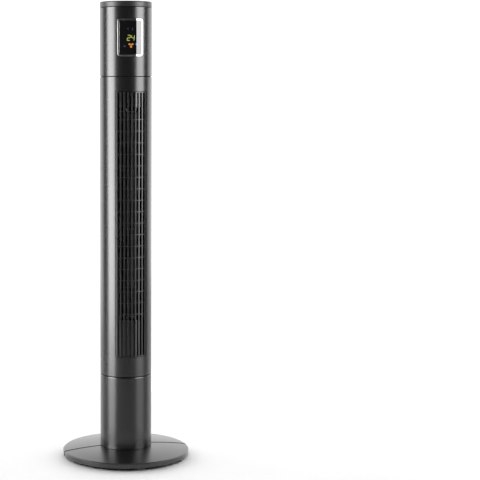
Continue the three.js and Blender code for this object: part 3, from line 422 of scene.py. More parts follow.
def lathe(profile, steps, first=0.0, last=360.0, axis=0.0, closed=True):
    """A line of (radius, height) points turned about a vertical axis. Part of a turn gets end faces."""
    full = last - first >= 360
    mesh = bmesh.new()
    turns = [first + (last - first) * i / steps for i in range(steps if full else steps + 1)]
    rows = [[mesh.verts.new(polar(r, turn, z, axis)) for r, z in profile] for turn in turns]
    skin(mesh, rows, closed, full)
    if not full:
        mesh.faces.new(rows[0][::-1])
        mesh.faces.new(rows[-1])
    bmesh.ops.remove_doubles(mesh, verts=mesh.verts, dist=1e-7)
    flat = [f for f in mesh.faces if f.calc_area() < 1e-14]
    bmesh.ops.delete(mesh, geom=flat, context="FACES")
    return mesh


def rounded(points, size, count=4):
    """A closed line of points with its corners rounded off. size is in millimetres: one for each
    corner, or one for all."""
    sizes = size if isinstance(size, list) else [size] * len(points)
    line = []
    for i, point in enumerate(points):
        here = Vector(point)
        back = Vector(points[i - 1]) - here
        on = Vector(points[(i + 1) % len(points)]) - here
        reach = min(sizes[i] * mm, back.length * 0.49, on.length * 0.49)
        if reach < 1e-7:
            line.append(tuple(here))
            continue
        start, end = here + back.normalized() * reach, here + on.normalized() * reach
        for t in (k / count for k in range(count + 1)):
            line.append(tuple((1 - t) ** 2 * start + 2 * t * (1 - t) * here + t * t * end))
    return line


def arc_bar(outer, inner, first, last, low, high, steps, edge=0.3, axis=0.0):
    """A bar bent round an axis, with its edges rounded by so many millimetres."""
    section = rounded([(inner, low), (outer, low), (outer, high), (inner, high)], edge, 2)
    return lathe(section, steps, first, last, axis)


def merge(meshes):
    """Several bmeshes as one."""
    whole = bmesh.new()
    for mesh in meshes:
        data = bpy.data.meshes.new("part")
        mesh.to_mesh(data)
        mesh.free()
        whole.from_mesh(data)
        bpy.data.meshes.remove(data)
    return whole


def outward(point):
    """The direction away from the body's axis."""
    return Vector((point.x, point.y, 0)).normalized()


def true_round(thing, radius):
    """Gives the round wall of an object the shading of a true cylinder."""
    data = thing.data
    data.update()
    touching = set()
    for face in data.polygons:
        places = [data.vertices[v].co for v in face.vertices]
        on = all(abs(math.hypot(place.x, place.y) - radius) < 2e-6 for place in places)
        if on and face.normal.dot(outward(face.center)) > 0.95:
            touching.update(face.vertices)
    normals = [Vector(c.vector) for c in data.corner_normals]
    for face in data.polygons:
        for corner in face.loop_indices:
            v = data.loops[corner].vertex_index
            away = outward(data.vertices[v].co)
            if v in touching and face.normal.dot(away) > 0.7:
                normals[corner] = away
    data.normals_split_custom_set([tuple(n) for n in normals])


def make_round(radius, *piece, sharp=30):
    """A piece whose round wall has the shading of a true cylinder."""
    thing = make(*piece, sharp)
    true_round(thing, radius)
    return thing


# --- Base, feet and column

base_radius = -span("base_front_half", 1)[0]
base_low, base_high = span("base_front_half", 2)
base_wall = 3 * mm
base_hole = 24 * mm
rim_top = base_low + 13 * mm
collar_low = base_high - base_wall - 8 * mm
groove = 1 * mm  # how far each half stays back from the line between them


def dome(radius, drop=0.0):
    """A point of the base's top: a shallow dome that falls faster towards its edge."""
    share = max(0.0, (radius - body_radius) / (base_radius - 3 * mm - body_radius))
    return radius, base_high - (base_high - rim_top) * share**1.6 - drop


def base_profile():
    """The base's section: the top from the hole to the rim, then the hollow underside."""
    edge, hollow = base_radius - 2.8 * mm, base_radius - 5.5 * mm
    collar = base_hole + base_wall
    line = [(base_hole, base_high - 0.6 * mm), (base_hole + 0.6 * mm, base_high)]
    line += [dome(body_radius + (edge - body_radius) * i / 14) for i in range(15)]
    line += [
        (base_radius, line[-1][1] - 2.2 * mm),
        (base_radius, base_low + 1.7 * mm),
        (base_radius - 1.5 * mm, base_low),
        (base_radius - base_wall, base_low),
        (base_radius - base_wall, base_low + 7.5 * mm),
    ]
    line += [dome(hollow - (hollow - body_radius) * i / 6, base_wall) for i in range(7)]
    line += [(collar, base_high - base_wall), (collar, collar_low), (base_hole, collar_low)]
    sizes = [0] * 16 + [0.5, 0.25, 0.2] + [0] * (len(line) - 19)
    return rounded(line, sizes, 3)


def on_top(point):
    """Whether a point of the base lies on its outer surface."""
    radius = math.hypot(point.x, point.y)
    return radius > base_radius - 2 * mm or point.z > dome(radius)[1] - 1 * mm


def rib(turn):
    """An upright plate under the base that runs outwards and follows the dome."""
    side = polar(1, turn + 90) * 1.25 * mm
    rows = []
    for radius in (base_hole + 2 * mm, body_radius, 0.55 * base_radius + 30 * mm, base_radius - 2.5 * mm):
        high = dome(radius)[1] - 2 * mm
        low = min(collar_low, high - 3 * mm)
        upper, lower = polar(radius, turn, high), polar(radius, turn, low)
        rows.append([upper - side, upper + side, lower + side, lower - side])
    return loft(rows)


def base_half(name, node, side):
    """side is -1 for the front half and 1 for the rear one."""
    middle = 0 if side < 0 else 180
    mesh = lathe(base_profile(), 96, middle - 90, middle + 90)
    ends = [v for v in mesh.verts if abs(v.co.y) < 1e-6]
    for vertex in ends:
        vertex.co.y = span(node, 1)[1 if side < 0 else 0] + side * groove
    mesh.normal_update()
    flat = [f for f in mesh.faces if abs(f.normal.y) > 0.999 and all(v in ends for v in f.verts)]
    around = {e for f in flat for e in f.edges}
    round_edges(mesh, [e for e in around if any(on_top(v.co) for v in e.verts)], 2.2 * mm, 5)
    ribs = [rib(middle - 90 + angle) for angle in range(20, 180, 40)]
    keep_flat(make(name, merge([mesh, *ribs]), base_plastic, "stand", node, "base_plastic", 40))


base_half("base_front", "base_front_half", -1)
base_half("base_rear", "base_rear_half", 1)


def foot(number):
    node = f"foot_{number}"
    low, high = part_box(node)
    radius, plug, top = (high.x - low.x) / 2, 3.2 * mm, 3.7 * mm
    profile = [(0, 0), (radius - 1.2 * mm, 0), (radius - 0.4 * mm, 0.3 * mm), (radius, 1.1 * mm)]
    profile += [(radius, 3.2 * mm), (radius - 0.3 * mm, 3.6 * mm), (radius - 0.8 * mm, top)]
    profile += [(plug, top), (plug, high.z), (0, high.z)]
    mesh = lathe(profile, 40, closed=False)
    bmesh.ops.translate(mesh, verts=mesh.verts, vec=(*middle_of(node), 0))
    make(f"rubber_foot_{number}", mesh, rubber, "stand", node, "black_rubber")


for number in range(1, 7):
    foot(number)


def column():
    """The fixed column, with a ledge inside for the swivel."""
    high = column_high + 0.7 * mm
    ledge = span("swivel_base_plate", 2)[0] - fit
    line = [(inner_radius, column_low), (body_radius, column_low), (body_radius, high - 2 * mm)]
    line += [(body_radius - 0.8 * mm, high), (inner_radius, high), (inner_radius, ledge)]
    line += [(inner_radius - 4 * mm, ledge), (inner_radius, ledge - 6 * mm)]
    mesh = lathe(rounded(line, [0.2, 0.5, 0.8, 0.3, 0.2, 0, 0, 0]), 144)
    tube = make_round(body_radius, "column_body", mesh, housing, "stand", "column_tube", "housing_plastic")
    paint_shade_inside(tube, painted_shade_radius)


column()


def cord_gland():
    """The bush in the column's back that the mains lead would leave through."""
    low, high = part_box("cord_gland")
    centre, outer = (low.z + high.z) / 2, (high.x - low.x) / 2
    bore, flange = 3.6 * mm, high.y - 2 * mm
    tube = bore + 2 * mm
    line = [(bore, low.y), (tube, low.y), (tube, flange), (outer, flange), (outer, high.y - 0.5 * mm)]
    line += [(outer - 2.4 * mm, high.y), (bore, high.y)]
    mesh = lathe(rounded(line, [0.3, 0.3, 0, 0.3, 0.4, 0.6, 0.5]), 48)
    for vertex in mesh.verts:
        x, y, z = vertex.co
        vertex.co = (x, z, centre - y)
    make("cord_bush", mesh, rubber, "stand", "cord_gland", "black_rubber")


cord_gland()


# --- Tower shell

outlet_half = grille_half + math.degrees(fit / body_radius)
opening_corner = 3.2 * mm
boss_across = middle_of("shell_screw_3")[0]
boss_heights = [sum(span(f"shell_screw_{i}", 2)) / 2 for i in (1, 2)]
screw_hole = 4.3 * mm


def seam_lip(turn):
    """A strip on the inside of the front half that lies behind one of its side seams."""
    low, high = tower_low + 1 * mm, tower_high - 1 * mm
    return arc_bar(inner_radius, inner_radius - 1.2 * mm, turn - 2, turn + 2, low, high, 3)


def half_shell(name, node, middle, openings, inside=()):
    """One half of the casing with its openings, and what belongs to its inside."""
    split = math.degrees(0.4 * mm / body_radius)
    outline = box_loop(middle, 90 - split, tower_low, tower_high - seam)
    mesh = merge([edged_wall([outline, *openings], body_radius, inner_radius, 0.45 * mm), *inside])
    shell = make_round(body_radius, name, mesh, housing, "tower", node, "housing_plastic")
    paint_shade_inside(shell, painted_shade_radius)


outlet = box_loop(0, outlet_half, grille_low - fit, grille_high + fit, opening_corner, body_radius)
half_shell("tower_front", "front_shell", 0, [outlet], [seam_lip(-90), seam_lip(90)])
intake = box_loop(180, intake_half + 0.3, intake_low - fit, intake_high + fit, opening_corner, body_radius)
screw_places = [(side * boss_across, height) for side in (-1, 1) for height in boss_heights]
holes = [round_hole(x, height, screw_hole, 180) for x, height in screw_places]
half_shell("tower_rear", "rear_shell", 180, [intake, *holes])


def screw_wells():
    """The blind tubes behind the holes for the shell's screws."""
    outer, depth = 6.4 * mm, 12 * mm
    parts = []
    for place in screw_places:
        mesh = bmesh.new()
        rings = []
        for radius, sunk in ((screw_hole, True), (screw_hole, False), (outer, False), (outer, True)):
            ring = []
            for x, z in circle(radius, *place, 24):
                y = depth if sunk else math.sqrt((inner_radius + 1 * mm) ** 2 - x * x)
                ring.append(mesh.verts.new((x, y, z)))
            rings.append(ring)
        skin(mesh, rings)
        parts.append(mesh)
    make("screw_wells", merge(parts), housing, "tower", None, "housing_plastic")


screw_wells()


# --- Front grille

face_radius = body_radius - 0.8 * mm
slat_count = 7
slat_width, slat_depth = 3.2 * mm, 3.6 * mm
frame_bar = 5.0  # degrees that each side bar takes
hoop_pitch = 29.15 * mm
slat_half = grille_half - frame_bar / 2
slat_pitch = (2 * (grille_half - frame_bar) + math.degrees(slat_width / face_radius)) / (slat_count + 1)
backing_radius = face_radius - 4.5 * mm
screw_height = sum(span("grille_screw", 2)) / 2
screw_room = 4.3 * mm  # above and below the screw in the middle slat


def grille_frame():
    side, inside = grille_half - 0.5, grille_half - frame_bar
    outline = box_loop(0, side, grille_low + 0.8 * mm, grille_high - 0.8 * mm, 2.4 * mm, face_radius)
    opening = box_loop(0, inside, grille_low + 3 * mm, grille_high - 3 * mm, 1.5 * mm, face_radius)
    mesh = edged_wall([outline, opening], face_radius, face_radius - 8 * mm, 0.5 * mm)
    make_round(face_radius, "outlet_frame", mesh, grille_plastic, "tower", "front_grille", "grille_plastic")


grille_frame()


def slat_outline(angle):
    """A slat's section: a flat front with round corners and straight sides."""
    half = slat_width / 2
    corners = [(-half, slat_depth), (-half, 0), (half, 0), (half, slat_depth)]
    cos, sin = math.cos(math.radians(angle)), math.sin(math.radians(angle))
    section = [(x, y - face_radius) for x, y in rounded(corners, [0, 0.45, 0.45, 0])]
    return [(x * cos - y * sin, x * sin + y * cos) for x, y in section]


def slats():
    """The upright slats. The middle one leaves room for the screw."""
    low, high = grille_low + 1 * mm, grille_high - 1 * mm
    parts = []
    for i in range(slat_count):
        outline = slat_outline(slat_pitch * (i - (slat_count - 1) / 2))
        stretches = [(low, high)]
        if i == slat_count // 2:
            stretches = [(low, screw_height - screw_room), (screw_height + screw_room, high)]
        parts += [prism(outline, *stretch) for stretch in stretches]
    mesh = merge(parts)
    keep_flat(make("outlet_slats", mesh, grille_plastic, "tower", "front_grille", "grille_plastic", 40))


slats()


def backing():
    """The closed zones behind the slats, below and above the blower."""
    parts = []
    for low, high, holes in (
        (grille_low + 1 * mm, guard_low - fit, []),
        (guard_high + fit, grille_high - 1 * mm, [round_hole(0, screw_height, 2.3 * mm, 0)]),
    ):
        loops = [box_loop(0, slat_half, low, high), *holes]
        parts.append(edged_wall(loops, backing_radius, backing_radius - 2.2 * mm, 0.3 * mm, 2))
    piece = ("outlet_backing", merge(parts), glossy_plastic, "tower", "front_grille", "grille_plastic")
    make_round(backing_radius, *piece)


backing()


def guard():
    """The hoops behind the slats, and the two posts that join them."""
    outer, inner = face_radius - 0.7 * mm, face_radius - 3.2 * mm
    reach = grille_half - frame_bar + 0.5
    parts = []
    height = guard_high - hoop_pitch
    while height > guard_low + hoop_pitch / 3:
        parts.append(arc_bar(outer, inner, -reach, reach, height - 1.6 * mm, height, 32))
        height -= hoop_pitch
    for first, last in ((-reach, 2 - reach), (reach - 2, reach)):
        parts.append(arc_bar(outer - 3 * mm, outer - 6 * mm, first, last, guard_low, guard_high, 2))
    make("guard_hoops", merge(parts), grille_plastic, "tower", "finger_guard", "grille_plastic")


guard()


# --- Rear grille and blower


def rear_grille():
    """The intake's frame with its level bars, and the upright bars that join them."""
    outer, inner = body_radius - fit, body_radius - fit - 2.6 * mm
    reach = intake_half - 3.6
    low, high = intake_low + 9 * mm, intake_high - 13 * mm
    outline = box_loop(180, intake_half, intake_low, intake_high, opening_corner - fit, outer)
    parts = [edged_wall([outline, box_loop(180, reach, low, high)], outer, inner, 0.4 * mm, 2)]
    first, last = 180 - reach - 0.6, 180 + reach + 0.6
    walls = (outer - 0.2 * mm, inner + 0.2 * mm)
    rows = round((high - low) / (9.1 * mm))
    for i in range(1, rows):
        bottom = low + (high - low) * i / rows - 2.5 * mm
        parts.append(arc_bar(*walls, first, last, bottom, bottom + 5 * mm, 28, 0.6))
    walls, ends = (outer - 0.1 * mm, inner), (low - 1 * mm, high + 1 * mm)
    for i in range(1, 6):
        angle = 180 + reach * (i / 3 - 1)
        parts.append(arc_bar(*walls, angle - 0.9, angle + 0.9, *ends, 2))
    piece = ("intake_grille", merge(parts), grille_plastic, "tower", "rear_grille", "grille_plastic")
    make_round(outer, *piece, sharp=35)


rear_grille()


def vane(inner, outer, turn):
    """The curved section of one vane, thickest at its middle."""
    sides = [[], []]
    for t in (k / 5 for k in range(6)):
        radius = inner + (outer - inner) * t
        angle = turn + 11 * t**1.8
        thick = 0.35 * mm + 0.25 * mm * math.sin(math.pi * t)
        for side, sign in zip(sides, (-1, 1)):
            side.append(polar(radius, angle + math.degrees(sign * thick / radius), 0, blower_axis)[:2])
    return sides[0] + sides[1][::-1]


def blower():
    """The cross-flow wheel: rings of vanes between discs, each ring turned on a little from the one below."""
    outer = (span("blower_wheel", 0)[1] - span("blower_wheel", 0)[0]) / 2
    inner, bore, hub = outer - 9 * mm, 4.4 * mm, 9 * mm
    rings, vanes, disc = 7, 32, 1.6 * mm
    pitch = (blower_high - blower_low - disc) / rings
    parts = []
    for i in range(rings + 1):
        low = blower_low + i * pitch
        hole = bore if i in (0, rings) else inner - 2 * mm
        parts.append(arc_bar(outer, hole, 0, 360, low, low + disc, 96, 0.4, blower_axis))
    for low in (blower_low, blower_high - 16 * mm):
        parts.append(arc_bar(hub, bore, 0, 360, low, low + 16 * mm, 32, 0.6, blower_axis))
    for ring in range(rings):
        low = blower_low + ring * pitch + disc / 2
        for i in range(vanes):
            section = vane(inner, outer - 0.8 * mm, 360 / vanes * (i + 0.37 * ring))
            parts.append(prism(section, low, low + pitch))
    make("blower_vanes", merge(parts), inner_plastic, "blower", "blower_wheel", "inner_plastic", 40)


blower()


# --- Head

display_middle = sum(span("display_bezel", 2)) / 2
display_height = span("display_bezel", 2)[1] - span("display_bezel", 2)[0]
display_width = 64.2 * mm
display_turn = -3.1  # the display sits a little to the left of the middle
display_corner = 8 * mm
border = 3.8 * mm
glass_radius = body_radius - 0.25 * mm
grip_low, grip_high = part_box("carry_grip")
grip_width, grip_height = grip_high.x - grip_low.x, grip_high.z - grip_low.z
grip_middle = (grip_low.z + grip_high.z) / 2


def head_shell():
    """The head's casing, with its openings for the display and the grip."""
    width, height = display_width + 2 * fit, display_height + 2 * fit
    opening = flat_loop(width, height, display_middle, display_corner, 8, display_turn)
    grip = flat_loop(grip_width + 2 * fit, grip_height + 2 * fit, grip_middle, 5 * mm)
    back = [(180 - a, z) for a, z in grip]
    outline = box_loop(65, 180, head_low + seam, head_top)
    mesh = edged_wall([outline, opening, back], body_radius, inner_radius, 0.5 * mm, whole=True)
    make_round(body_radius, "head_body", mesh, housing, "tower", "head_shell", "housing_plastic")


head_shell()


def bezel():
    """A bright frame with a rounded section, bent round the head."""
    half_x, half_z = display_width / 2 - display_corner, display_height / 2 - display_corner
    path = [Vector((side_x * half_x, side_z * half_z, x, z)) for side_x, side_z, x, z in corner_turns(10)]
    dense = []
    for point, following in zip(path, path[1:] + path[:1]):
        pieces = max(1, round((following.xy - point.xy).length / (2.5 * mm)))
        dense += [point.lerp(following, k / pieces) for k in range(pieces)]
    proud, sunk = 0.7 * mm, -2.6 * mm
    section = rounded([(0, sunk), (0, proud), (border, proud), (border, sunk)], [0, 0.55, 0.4, 0], 5)
    mesh = bmesh.new()
    rows = []
    for x, z, turn_x, turn_z in dense:
        row = []
        for inset, rise in section:
            reach = display_corner - inset
            angle = display_turn + math.degrees(math.asin((x + turn_x * reach) / body_radius))
            row.append(mesh.verts.new(polar(body_radius + rise, angle, display_middle + z + turn_z * reach)))
        rows.append(row)
    skin(mesh, rows)
    make("display_frame", mesh, chrome, "tower", "display_bezel", "chrome_trim", 50)


bezel()


def window():
    inset = 2 * border + 0.1 * mm
    size = (display_width - inset, display_height - inset)
    outline = flat_loop(*size, display_middle, display_corner - border, 5, display_turn)
    mesh = edged_wall([outline], glass_radius, inner_radius, 0.1 * mm, 1)
    make_round(glass_radius, "display_glass", mesh, black_glass, "tower", "display_window", "black_glass")


window()


def on_glass(polygons, x, z, lean=0.0):
    """Flat shapes of (x, z) points in millimetres laid on the display's face, as thin curved plates."""
    parts = []
    for polygon in polygons:
        loop = []
        for px, pz in polygon:
            across = (x + px + lean * pz) * mm
            loop.append((display_turn + math.degrees(math.asin(across / glass_radius)), z + pz * mm))
        parts.append(wall([loop], glass_radius + 0.06 * mm, glass_radius - 0.1 * mm))
    return merge(parts)


def segments(digit, width=8.0, height=14.4, thick=1.15, gap=0.2):
    """The lit bars of a seven-segment digit, each with pointed ends."""
    t = thick / 2
    w, h = width / 2 - t, height / 2 - t
    level = [(-w, z, w, z) for z in (-h, 0, h)]
    upright = {(x, z): (x, z + h, x, z) for x in (-w, w) for z in (-h, 0)}
    lit = {
        "2": [level[2], upright[w, 0], level[1], upright[-w, -h], level[0]],
        "4": [upright[-w, 0], level[1], upright[w, 0], upright[w, -h]],
    }
    shapes = []
    for x0, z0, x1, z1 in lit[digit]:
        length = math.hypot(x1 - x0, z1 - z0)
        ux, uz = (x1 - x0) / length, (z1 - z0) / length
        s, e = gap, length - gap
        local = [(s, 0), (s + t, t), (e - t, t), (e, 0), (e - t, -t), (s + t, -t)]
        shapes.append([(x0 + ux * u - uz * v, z0 + uz * u + ux * v) for u, v in local])
    return shapes


def arc_band(radius, thick, first, last, count=20):
    outer = circle(radius + thick / 2, 0, 0, count, first, last)
    inner = circle(radius - thick / 2, 0, 0, count, first, last)
    return outer + inner[::-1]


def bar(x0, y0, x1, y1, thick):
    length = math.hypot(x1 - x0, y1 - y0)
    nx, ny = -(y1 - y0) / length * thick / 2, (x1 - x0) / length * thick / 2
    return [(x0 - nx, y0 - ny), (x1 - nx, y1 - ny), (x1 + nx, y1 + ny), (x0 + nx, y0 + ny)]


def arrow(x, y, angle, size):
    cos, sin = on_circle(1, angle)
    points = ((size * 0.6, 0), (-size * 0.4, size * 0.5), (-size * 0.4, -size * 0.5))
    return [(x + u * cos - v * sin, y + u * sin + v * cos) for u, v in points]


def fan_sign(size):
    """A three-bladed fan."""
    shapes = [circle(size * 0.13)]
    root = math.degrees(0.5)
    for middle in (30, 150, 270):
        blade = []
        for t in (i / 14 for i in range(15)):
            reach = size * (0.34 + 0.2 * math.sin(math.pi * t) ** 0.6)
            blade.append(on_circle(reach, middle - 34 + 68 * t))
        blade += [on_circle(size * 0.16, middle + root), on_circle(size * 0.16, middle - root)]
        shapes.append(blade)
    return shapes


def star_sign(size):
    """A snowflake of plain arms."""
    ends = [on_circle(size / 2, angle) for angle in (90, 150, 210)]
    return [bar(-x, -z, x, z, size * 0.16) for x, z in ends]


def moon_sign(size):
    outer = circle(size / 2, count=16, first=60, last=300)
    inner = circle(size * 0.42, x=size * 0.2, count=12, first=285, last=75)
    return [outer + inner[1:-1]]


def display_signs():
    """A number and plain signs, each moved sideways by millimetres from the display's middle."""
    middle = display_middle
    digits = [on_glass(segments(digit), x, middle - 1.4 * mm, 0.08) for digit, x in (("2", -5.1), ("4", 5.4))]
    fan = on_glass(fan_sign(12.5), 0.7, middle - 19.2 * mm)
    star = on_glass(star_sign(6.5), 15.5, middle - 17.4 * mm)
    thermometer = [circle(1.6, 0, -2), bar(0, -1.2, 0, 3, 1.4)]
    faint = [
        on_glass(moon_sign(5.5), -5.7, middle + 21 * mm),
        on_glass(thermometer, 4.9, middle + 21 * mm),
        on_glass([circle(2.2)], -15.3, middle - 22 * mm),
    ]
    for name, mesh, light in (
        ("display_digits", merge(digits), digit_glow),
        ("display_fan_sign", fan, orange_glow),
        ("display_cold_sign", star, blue_glow),
        ("display_faint_signs", merge(faint), faint_glow),
    ):
        make(name, mesh, light, "tower", None, "black_glass")


display_signs()


# --- Carrying grip, cap, panel and keys


def carry_grip():
    """A pocket let into the back of the head, with rounded inner corners."""
    rear, shell = body_radius - 0.5 * mm, 2 * mm
    floor_y = grip_low.y + shell
    mesh = bmesh.new()
    rings = []
    for inset, corner, depth in (  # a depth of None lies on the round wall
        (0, 4.7 * mm, grip_low.y),
        (0, 4.7 * mm, None),
        (shell, 2.7 * mm, None),
        (shell, 2.7 * mm, floor_y + 2.5 * mm),
        (shell + 0.8 * mm, 2.2 * mm, floor_y + 0.7 * mm),
        (shell + 2.5 * mm, 1 * mm, floor_y),
    ):
        ring = round_box(grip_width / 2 - inset, grip_height / 2 - inset, corner, corner, 6)
        places = [(x, depth or math.sqrt(rear * rear - x * x), grip_middle + z) for x, z in ring]
        rings.append([mesh.verts.new(place) for place in places])
    skin(mesh, rings, around=False)
    mesh.faces.new(rings[0])
    mesh.faces.new(rings[-1])
    mesh.normal_update()
    lip = [e for e in mesh.edges if all(v in rings[1] or v in rings[2] for v in e.verts)]
    lip = [e for e in lip if len({v in rings[1] for v in e.verts}) == 1]
    round_edges(mesh, lip, 0.5 * mm, 2)
    make("grip_pocket", mesh, inner_plastic, "tower", "carry_grip", "inner_plastic", 40)


carry_grip()

panel_radius = span("control_panel", 0)[1]
panel_low, panel_high = span("control_panel", 2)
key_nodes = ["key_power", "key_speed", "key_timer", "key_swing"]
key_radius = 6.2 * mm


def top_cap():
    """The ring that closes the head and holds the panel."""
    inside, ledge, skirt = inner_radius - fit, panel_low - fit, cap_low - 7 * mm
    lip, seat = panel_radius + fit, panel_radius - 4 * mm
    line = [(seat, ledge - 2 * mm), (inside - body_wall, ledge - 2 * mm), (inside - body_wall, skirt)]
    line += [(inside, skirt), (inside, cap_low), (cap_radius, cap_low), (cap_radius, cap_high)]
    line += [(lip, cap_high), (lip, ledge), (seat, ledge)]
    mesh = lathe(rounded(line, [0, 0, 0, 0.3, 0, 0.4, 2.6, 0.5, 0, 0], 6), 144)
    ring = make_round(cap_radius, "cap_ring", mesh, cap_plastic, "tower", "top_cap", "housing_plastic")
    paint_shade_inside(ring, cap_radius - 2 * mm, cap_low)


top_cap()


def control_panel():
    """A round glass panel with a round hole for each key."""
    holes = [circle(key_radius + 0.35 * mm, *middle_of(node), 40) for node in key_nodes]
    loops = [[Vector((*p, 0)) for p in loop] for loop in [circle(panel_radius, count=180), *holes]]
    mesh = bmesh.new()
    points = [p for loop in loops for p in loop]
    top, bottom = ([mesh.verts.new((p.x, p.y, z)) for p in points] for z in (panel_high, panel_low))
    for a, b, c in tessellate_polygon(loops):
        mesh.faces.new([top[a], top[b], top[c]])
        mesh.faces.new([bottom[c], bottom[b], bottom[a]])
    start = 0
    for loop in loops:
        end = start + len(loop)
        skin(mesh, [bottom[start:end], top[start:end]], around=False)
        start = end
    mesh.normal_update()
    above = [e for e in mesh.edges if all(v.co.z > panel_high - 1e-7 for v in e.verts)]
    round_edges(mesh, [e for e in above if e.calc_face_angle(0) > 1], 0.35 * mm, 2)
    keep_flat(make("panel_glass", mesh, black_glass, "tower", "control_panel", "black_glass", 40))


control_panel()


def key(node):
    """A round key with a hollow top and a flange under the panel, and its sign."""
    low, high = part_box(node)
    x, y = middle_of(node)
    flange, under, stem = (high.x - low.x) / 2, panel_low - fit, 3 * mm
    top = high.z - 0.2 * mm
    profile = [(0, low.z), (stem, low.z), (stem, under - 1.4 * mm), (flange, under - 1.4 * mm)]
    profile += [(flange, under), (key_radius, under), (key_radius, high.z - 0.5 * mm)]
    profile += [(key_radius - 0.15 * mm, high.z - 0.15 * mm), (key_radius - 0.5 * mm, high.z)]
    profile += [(key_radius * 0.6, high.z - 0.12 * mm), (0, top)]
    mesh = lathe(profile, 48, closed=False)
    bmesh.ops.translate(mesh, verts=mesh.verts, vec=(x, y, 0))
    body = node.replace("key_", "") + "_key"
    make(f"{node}_cap", mesh, black_glass, body, node, "black_glass", 50)
    shapes = [[(x + px * mm, y + py * mm) for px, py in shape] for shape in key_signs[node]]
    sign = merge([prism(shape, top - 0.12 * mm, top + 0.09 * mm) for shape in shapes])
    make(f"{node}_sign", sign, icon_print, body, None, "black_glass")


key_signs = {
    "key_power": [arc_band(2.5, 0.5, 125, 415), bar(0, 0.6, 0, 3.1, 0.5)],
    "key_speed": fan_sign(6.2),
    "key_timer": [arc_band(2.5, 0.5, 0, 359.9, count=32), bar(0, 0, 0, 1.7, 0.45), bar(0, 0, 1.2, 0, 0.45)],
    "key_swing": [arc_band(2.6, 0.5, 35, 145), arrow(-2.25, 1.3, 235, 1.5), arrow(2.25, 1.3, -55, 1.5)],
}
key_signs["key_swing"].append(circle(0.7, 0, -1.2))

for node in key_nodes:
    key(node)


# --- Pieces that keep their CAD shapes

kept = [
    (steel, "base_screw shell_screw swivel_circlip motor_shaft blower_axle"),
    (black_steel, "grille_screw"),
    (motor_steel, "motor_housing oscillation_motor"),
    (bronze, "bearing_bush"),
    (rubber, "bearing_rubber motor_damper"),
    # painted shade: these pieces behind the seams get a near-black matt so the gaps look as dark as shadow
    (matt_black, "swivel_thrust_ring swivel_top_plate swivel_base_plate head_plate bearing_plate"),
    (inner_plastic, "column_foot motor_plate duct_tongue duct_scroll"),
    (white_plastic, "swivel_gear_sector oscillation_pinion run_capacitor"),
    (board, "display_board control_board"),
    (sheath, "wiring_harness"),
]
kept_materials = {kind: material for material, kinds in kept for kind in kinds.split()}
for node, thing in frame["nodes"].items():
    kind = node.rstrip("_0123456789")
    if kind not in kept_materials:
        continue
    thing.data.materials.clear()
    thing.data.materials.append(kept_materials[kind])
    thing.data.shade_smooth()
    thing.data.set_sharp_from_angle(angle=math.radians(32))
    edge = thing.modifiers.new("edge", "BEVEL")
    edge.width, edge.segments, edge.limit_method, edge.angle_limit = 0.2 * mm, 2, "ANGLE", math.radians(40)
    keep_flat(thing)


# --- Floor, light and camera

camera_turn = -13.8
camera_distance = 3.581
camera_height = 0.9597
camera_pitch = 6.21  # degrees below the level
floor_radius = 0.75


def stage_piece(name, mesh, material):
    thing = add_object(name, mesh, material)
    return thing


def fresh_nodes(tree, *kinds):
    """New nodes in a tree emptied of all others."""
    tree.nodes.clear()
    return [tree.nodes.new(f"ShaderNode{kind}") for kind in kinds]


def glowing(name, strength, top_share=1.0, low=0.0, high=1.0):
    """An even white light, or one that grows or fades towards its top."""
    material = bpy.data.materials.new(name)
    material.use_nodes = True
    tree = material.node_tree
    kinds = ("Emission", "OutputMaterial", "NewGeometry", "SeparateXYZ", "MapRange")
    emission, output, place, parts, ramp = fresh_nodes(tree, *kinds)
    fill(ramp, From_Min=low, From_Max=high, To_Min=strength * (2 - top_share), To_Max=strength * top_share)
    link = tree.links.new
    link(place.outputs["Position"], parts.inputs["Vector"])
    link(parts.outputs["Z"], ramp.inputs["Value"])
    link(ramp.outputs["Result"], emission.inputs["Strength"])
    link(emission.outputs["Emission"], output.inputs["Surface"])
    return material


def disc(name, radius, height, material):
    mesh = bmesh.new()
    mesh.faces.new([mesh.verts.new(polar(radius, 6 * i, height)) for i in range(60)])
    return stage_piece(name, mesh, material)


def floor_paint(name, greys, gloss):
    """A grey paint with slow, faint clouds in its tone and its gloss."""
    nodes = Nodes(name)
    paint = nodes.blend(nodes.noise(2), *((grey,) * 3 for grey in greys))
    nodes.link(paint, nodes.shader.inputs["Base Color"])
    nodes.link(nodes.between(nodes.noise(5), *gloss), nodes.shader.inputs["Roughness"])
    return nodes.material


def floor():
    """The floor that the camera sees. It takes the fan's soft shadow and turns white further away."""
    near = disc("floor", floor_radius, 0, floor_paint("floor_paint", (0.86, 0.88), (0.75, 0.85)))
    far = disc("white_ground", 60, -3 * mm, glowing("white_ground", 1.2))
    for thing in (near, far):
        thing.visible_diffuse = thing.visible_glossy = thing.visible_shadow = False


def bounce_floor():
    """The glossy floor that the fan reflects, just below the one in view."""
    paint = floor_paint("bounce_paint", (0.54, 0.56), (0.2, 0.22))
    disc("bounce_floor", 4, -1.5 * mm, paint).visible_camera = False


def near_floor():
    """The even, shaded floor close to the base, which the base's rim reflects."""
    mesh = lathe([(base_radius + 2 * mm, -1 * mm), (0.3, -1 * mm)], 60, closed=False)
    stage_piece("near_floor", mesh, glowing("near_floor", 1.25)).visible_camera = False


floor()
bounce_floor()
near_floor()


